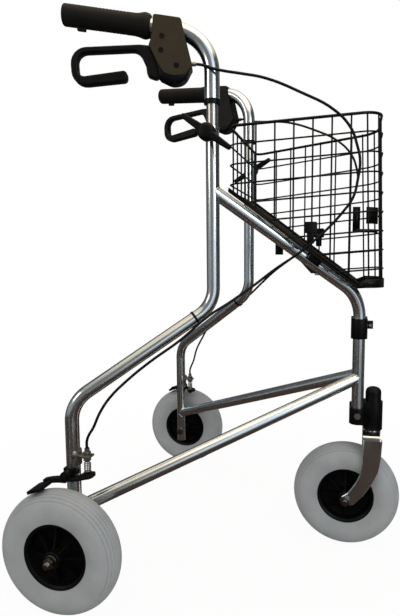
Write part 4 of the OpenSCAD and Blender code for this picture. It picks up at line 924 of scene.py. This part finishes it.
# Caster fork: one steel pressing, bright plated, its crown folded down into two legs that sweep back
# to the axle. It is fixed to the stem that turns in the head.
fold_r = 6
fork_t = 5
crown_low = 220
crown_top = 228
leg_corners = ((11, crown_top - fold_r, 0), (46, crown_top - fold_r, 4), (44, 188, 60), (40, 160, 40),
               (31, 139, 40), (15, 112, 40), (-6, 89, 14), (-29, 92, 8), (-27, 106, 7), (-14, 116, 20),
               (-1, 136, 30), (8, 156, 40), (11, 178, 40))
work = bmesh.new()
place = Matrix.Scale(MM, 4) @ Matrix.Translation((hinge_x, 0, 0)) @ Matrix.Rotation(math.pi / 2, 4, "X")
for low, high, outer in ((-fork_out, fork_t - fork_out, -fork_out), (fork_out - fork_t, fork_out, fork_out)):
    plate(work, leg_corners, low, high, 3.2, place, 5, outer)
crown = bmesh.new()
bmesh.ops.create_cube(crown, size=1)
bmesh.ops.scale(crown, verts=crown.verts, vec=(30, crown_top - crown_low, 2 * fork_out))
bmesh.ops.translate(crown, verts=crown.verts, vec=(26, (crown_low + crown_top) / 2, 0))
folds = [e for e in crown.edges if all(v.co.y > crown_low + 1 for v in e.verts)
         and abs(e.verts[0].co.x - e.verts[1].co.x) > 1]
ease(crown, folds, fold_r, 5)
join(work, crown, place)
piece("fork_pressing", work, "caster", "chrome_tube", plated_steel, "caster_fork")

# Folding brace: two black coated links below the basket and a plastic plate with a grip nub that joins
# them. The links swing on the lugs of the front tubes.
for side, hand in sides:
    softened(side + "_brace_link", 0.8 * MM, 40, side + "_link", side + "_brace", "black_arm", black_coat)
softened("brace_plate", 2.0 * MM, 40, "brace_grip", "brace_plate_body", "black_plastic", black_plastic, 3)

# Basket: black plastic-coated steel wire, welded where wires cross. Rows run round the sides and front in one
# piece with rounded corners, uprights stand inside them, and the floor follows the sloping tubes.
wire_r = 1.5
rim_wire_r = 2.5
basket_rear = -222.3
basket_ahead = 31
rear_half = 125
front_half = 78
rim_rear = 776
rim_front = 797
mesh_x = 31.5
mesh_z = 32.6
floor_slope = rail_slope / math.cos(open_angle)
floor_lift = 12.6 * math.sqrt(1 + floor_slope ** 2)
floor_from = -6
front_lean = 9
front_r = 40
rear_r = 14
side_band = 8
front_band = 15
basket_l = basket_ahead - basket_rear


def floor_at(x):
    """Height of the middle of the floor's wires at a distance ahead of the hinge tubes."""
    return rail_low + floor_lift + wire_r - floor_slope * min(x, floor_from)


def half_at(x):
    """Half width of the basket there."""
    return rear_half + (front_half - rear_half) * (x - basket_rear) / basket_l


def rim_at(x):
    """Height of the rim there."""
    return rim_rear + (rim_front - rim_rear) * (x - basket_rear) / basket_l


def ahead_at(z):
    """How far ahead of the hinge tubes the leaning front reaches at a height."""
    return basket_ahead + front_lean * (rim_front - z) / (rim_front - floor_at(0))


def eased(corners, radii, closed):
    """A line through corners in space, with an arc of its own radius at each of them."""
    line = []
    count = len(corners)
    for i, (corner, radius) in enumerate(zip(corners, radii)):
        if not closed and i in (0, count - 1):
            line.append(corner)
            continue
        before = (corners[i - 1] - corner).normalized()
        after = (corners[(i + 1) % count] - corner).normalized()
        half = before.angle(after) / 2
        middle = corner + (before + after).normalized() * radius * MM / math.sin(half)
        start = corner + before * radius * MM / math.tan(half) - middle
        across = before.cross(after)
        for step in range(11):
            line.append(middle + Matrix.Rotation((2 * half - math.pi) * step / 10, 3, across) @ start)
    return line


def basket_point(x, y, z):
    """A point ahead of the hinge tubes, to the left, and by height, in metres."""
    return Vector((hinge_x + x, y, z)) * MM


# Plastic-dipped wire: smooth black with drips that leave it slightly uneven
basket_wire, tree = blank_material("plastic_dipped_wire")
spot = add(tree, "ShaderNodeTexCoord", {})
drips = add(tree, "ShaderNodeTexNoise", {"Vector": spot.outputs["Object"], "Scale": 1 / 0.01, "Detail": 3})
tone = add(tree, "ShaderNodeMix", data_type="RGBA", inputs={
    "Factor": drips.outputs["Fac"], "A": linear("#060606"), "B": linear("#0F0F0F")})
gloss = add(tree, "ShaderNodeMapRange", {"Value": drips.outputs["Fac"], "To Min": 0.25, "To Max": 0.42})
relief = add(tree, "ShaderNodeBump", {"Height": drips.outputs["Fac"], "Strength": 0.2, "Distance": 0.0006})
shell = add(tree, "ShaderNodeBsdfPrincipled",
            {"Base Color": tone.outputs["Result"], "Roughness": gloss.outputs["Result"], "IOR": 1.5,
             "Specular IOR Level": 0.15, "Normal": relief.outputs["Normal"]})
add(tree, "ShaderNodeOutputMaterial", {"Surface": shell.outputs["BSDF"]})

rear_x = basket_rear + wire_r
corner_radii = (rear_r, front_r, front_r, rear_r)


def ring_corners(back, drop, inset):
    """The four corners of a row round the basket, so far below the rim, from a distance at the back."""
    ahead = ahead_at(rim_front - drop) - inset
    corners = []
    for x, way in ((back, -1), (ahead, -1), (ahead, 1), (back, 1)):
        height = rim_at(min(x, basket_ahead)) - drop
        corners.append(basket_point(x, way * (half_at(x) - inset), height))
    return corners


rows = []
closed_rows = []
row = 1
while rim_front - mesh_z * row > floor_at(0) + 8:
    drop = mesh_z * row
    back = rear_x
    if rim_rear - drop > floor_at(rear_x) + 4:
        closed_rows.append(len(rows))
    else:
        while rim_at(back) - drop < floor_at(back) and back < floor_from:
            back += 1
    rows.append(eased(ring_corners(back, drop, wire_r), corner_radii, len(rows) in closed_rows))
    row += 1
basket_rows, middle = wires("basket_rows", rows, wire_r * MM, 2, basket_wire, closed=closed_rows)

uprights = []
side_step = mesh_x * basket_l / math.hypot(basket_l, rear_half - front_half)
foot_drop = rim_front - floor_at(0)
rim_ring = eased(ring_corners(rear_x, 0, 3 * wire_r), corner_radii, True)
foot_ring = eased(ring_corners(rear_x, foot_drop, 3 * wire_r), corner_radii, True)
x = basket_rear + 1.5 * side_step
while x < basket_ahead - front_r + 8:
    for way in (-1, 1):
        y = way * (half_at(x) - 2 * wire_r)
        uprights.append([basket_point(x, y, floor_at(x)), basket_point(x, y, rim_at(x))])
    x += side_step
# Each ring has eleven points at each corner, and the front ones are the second and third
for at in (13, 18, 26, 31):
    uprights.append([foot_ring[at], rim_ring[at]])
for i in (-1, 0, 1):
    heights = (floor_at(0), rim_front - rim_wire_r)
    uprights.append([basket_point(ahead_at(z) - 2 * wire_r, i * mesh_x, z) for z in heights])
for i in range(-3, 4):
    heights = (floor_at(rear_x), rim_rear)
    uprights.append([basket_point(rear_x + wire_r, i * mesh_x, z) for z in heights])
basket_uprights, middle = wires("basket_uprights", uprights, wire_r * MM, 2, basket_wire)

rim_corners = [p - Vector((0, 0, rim_wire_r * MM)) for p in ring_corners(rear_x + 1, 0, rim_wire_r)]
rim_line = eased(rim_corners, corner_radii, True)
basket_rim, middle = wires("basket_rim", [rim_line], rim_wire_r * MM, 3, basket_wire, closed=(0,))

# The floor's wires stop at the rounded front corners
foot_ahead = ahead_at(floor_at(0)) - wire_r
corner_x = foot_ahead - front_r
corner_y = half_at(corner_x) - wire_r - front_r / math.cos(math.atan((rear_half - front_half) / basket_l))


def foot_half(x):
    """Half width of the floor at a distance ahead of the hinge tubes."""
    if x > corner_x:
        return corner_y + math.sqrt(max(front_r ** 2 - (x - corner_x) ** 2, 0))
    return half_at(x) - wire_r


def foot_reach(y):
    """How far ahead the floor reaches at a distance to one side."""
    return corner_x + math.sqrt(max(front_r ** 2 - max(abs(y) - corner_y, 0) ** 2, 0))


floor_lines = []
for share in (-1, -0.75, -0.5, -0.25, 0, 0.25, 0.5, 0.75, 1):
    end = foot_reach(share * half_at(foot_ahead))
    stops = (rear_x, floor_from, end)
    floor_lines.append([basket_point(x, share * (half_at(x) - wire_r), floor_at(x)) for x in stops])
slope_step = mesh_x / math.sqrt(1 + floor_slope ** 2)
x = rear_x
while x < floor_from - 6:
    reach = half_at(x) - wire_r
    floor_lines.append([basket_point(x, way * reach, floor_at(x) + wire_r) for way in (-1, 1)])
    x += slope_step
for x in (floor_from, floor_from + 13, floor_from + 26, foot_ahead - 1):
    floor_lines.append([basket_point(x, way * foot_half(x), floor_at(x) + wire_r) for way in (-1, 1)])
basket_floor, middle = wires("basket_floor_wires", floor_lines, wire_r * MM, 2, basket_wire)

# A closed strip stands round the foot of the sides and front
foot_stops = ((rear_x, -1), (floor_from, -1), (foot_ahead, -1), (foot_ahead, 1), (floor_from, 1), (rear_x, 1))
foot_corners = [basket_point(x, way * (half_at(x) - wire_r), 0) for x, way in foot_stops]
foot_line = eased(foot_corners, (0, 1, front_r - 4, front_r - 4, 1, 0), False)
work = bmesh.new()
verts = []
for place in foot_line:
    x = place.x / MM - hinge_x
    verts.append(work.verts.new((place.x, place.y, (floor_at(x) - wire_r) * MM)))
edges = [work.edges.new(pair) for pair in zip(verts, verts[1:])]
grown = bmesh.ops.extrude_edge_only(work, edges=edges)["geom"]
for v in verts_of(grown):
    v.co.z += (side_band if v.co.x / MM - hinge_x < floor_from + 3 else front_band) * MM
strip = piece("basket_foot_strip", work, "basket", "basket_wire", basket_wire)
thick = strip.modifiers.new("sheet", "SOLIDIFY")
thick.thickness = 2 * wire_r * MM
thick.offset = 0

# A plain plate with an open middle stands behind the wires of the right front corner
plate_ring = eased(ring_corners(rear_x, rim_front - 618, 5 * wire_r), corner_radii, True)
plate_line = [plate_ring[11].lerp(plate_ring[10], 0.06)] + plate_ring[11:19]
work = bmesh.new()
for line, low, high in ((plate_line, 597, 603), (plate_line[:2], 603, 640), (plate_line[3:], 612, 640)):
    verts = [work.verts.new((p.x, p.y, low * MM)) for p in line]
    edges = [work.edges.new(pair) for pair in zip(verts, verts[1:])]
    grown = bmesh.ops.extrude_edge_only(work, edges=edges)["geom"]
    bmesh.ops.translate(work, verts=verts_of(grown), vec=(0, 0, (high - low) * MM))
corner_plate = piece("corner_plate", work, "basket", "black_plastic", black_plastic)
thick = corner_plate.modifiers.new("sheet", "SOLIDIFY")
thick.thickness = 2 * MM
thick.offset = 0

for thing in (basket_rows, basket_uprights, basket_rim, basket_floor):
    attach(thing, "basket")
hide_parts("basket_right", "basket_left")
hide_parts("basket_front", "basket_rear")
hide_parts("basket_floor")
softened("basket_clips", 1.0 * MM, 40, "basket_seats", "basket", "black_plastic", black_plastic)
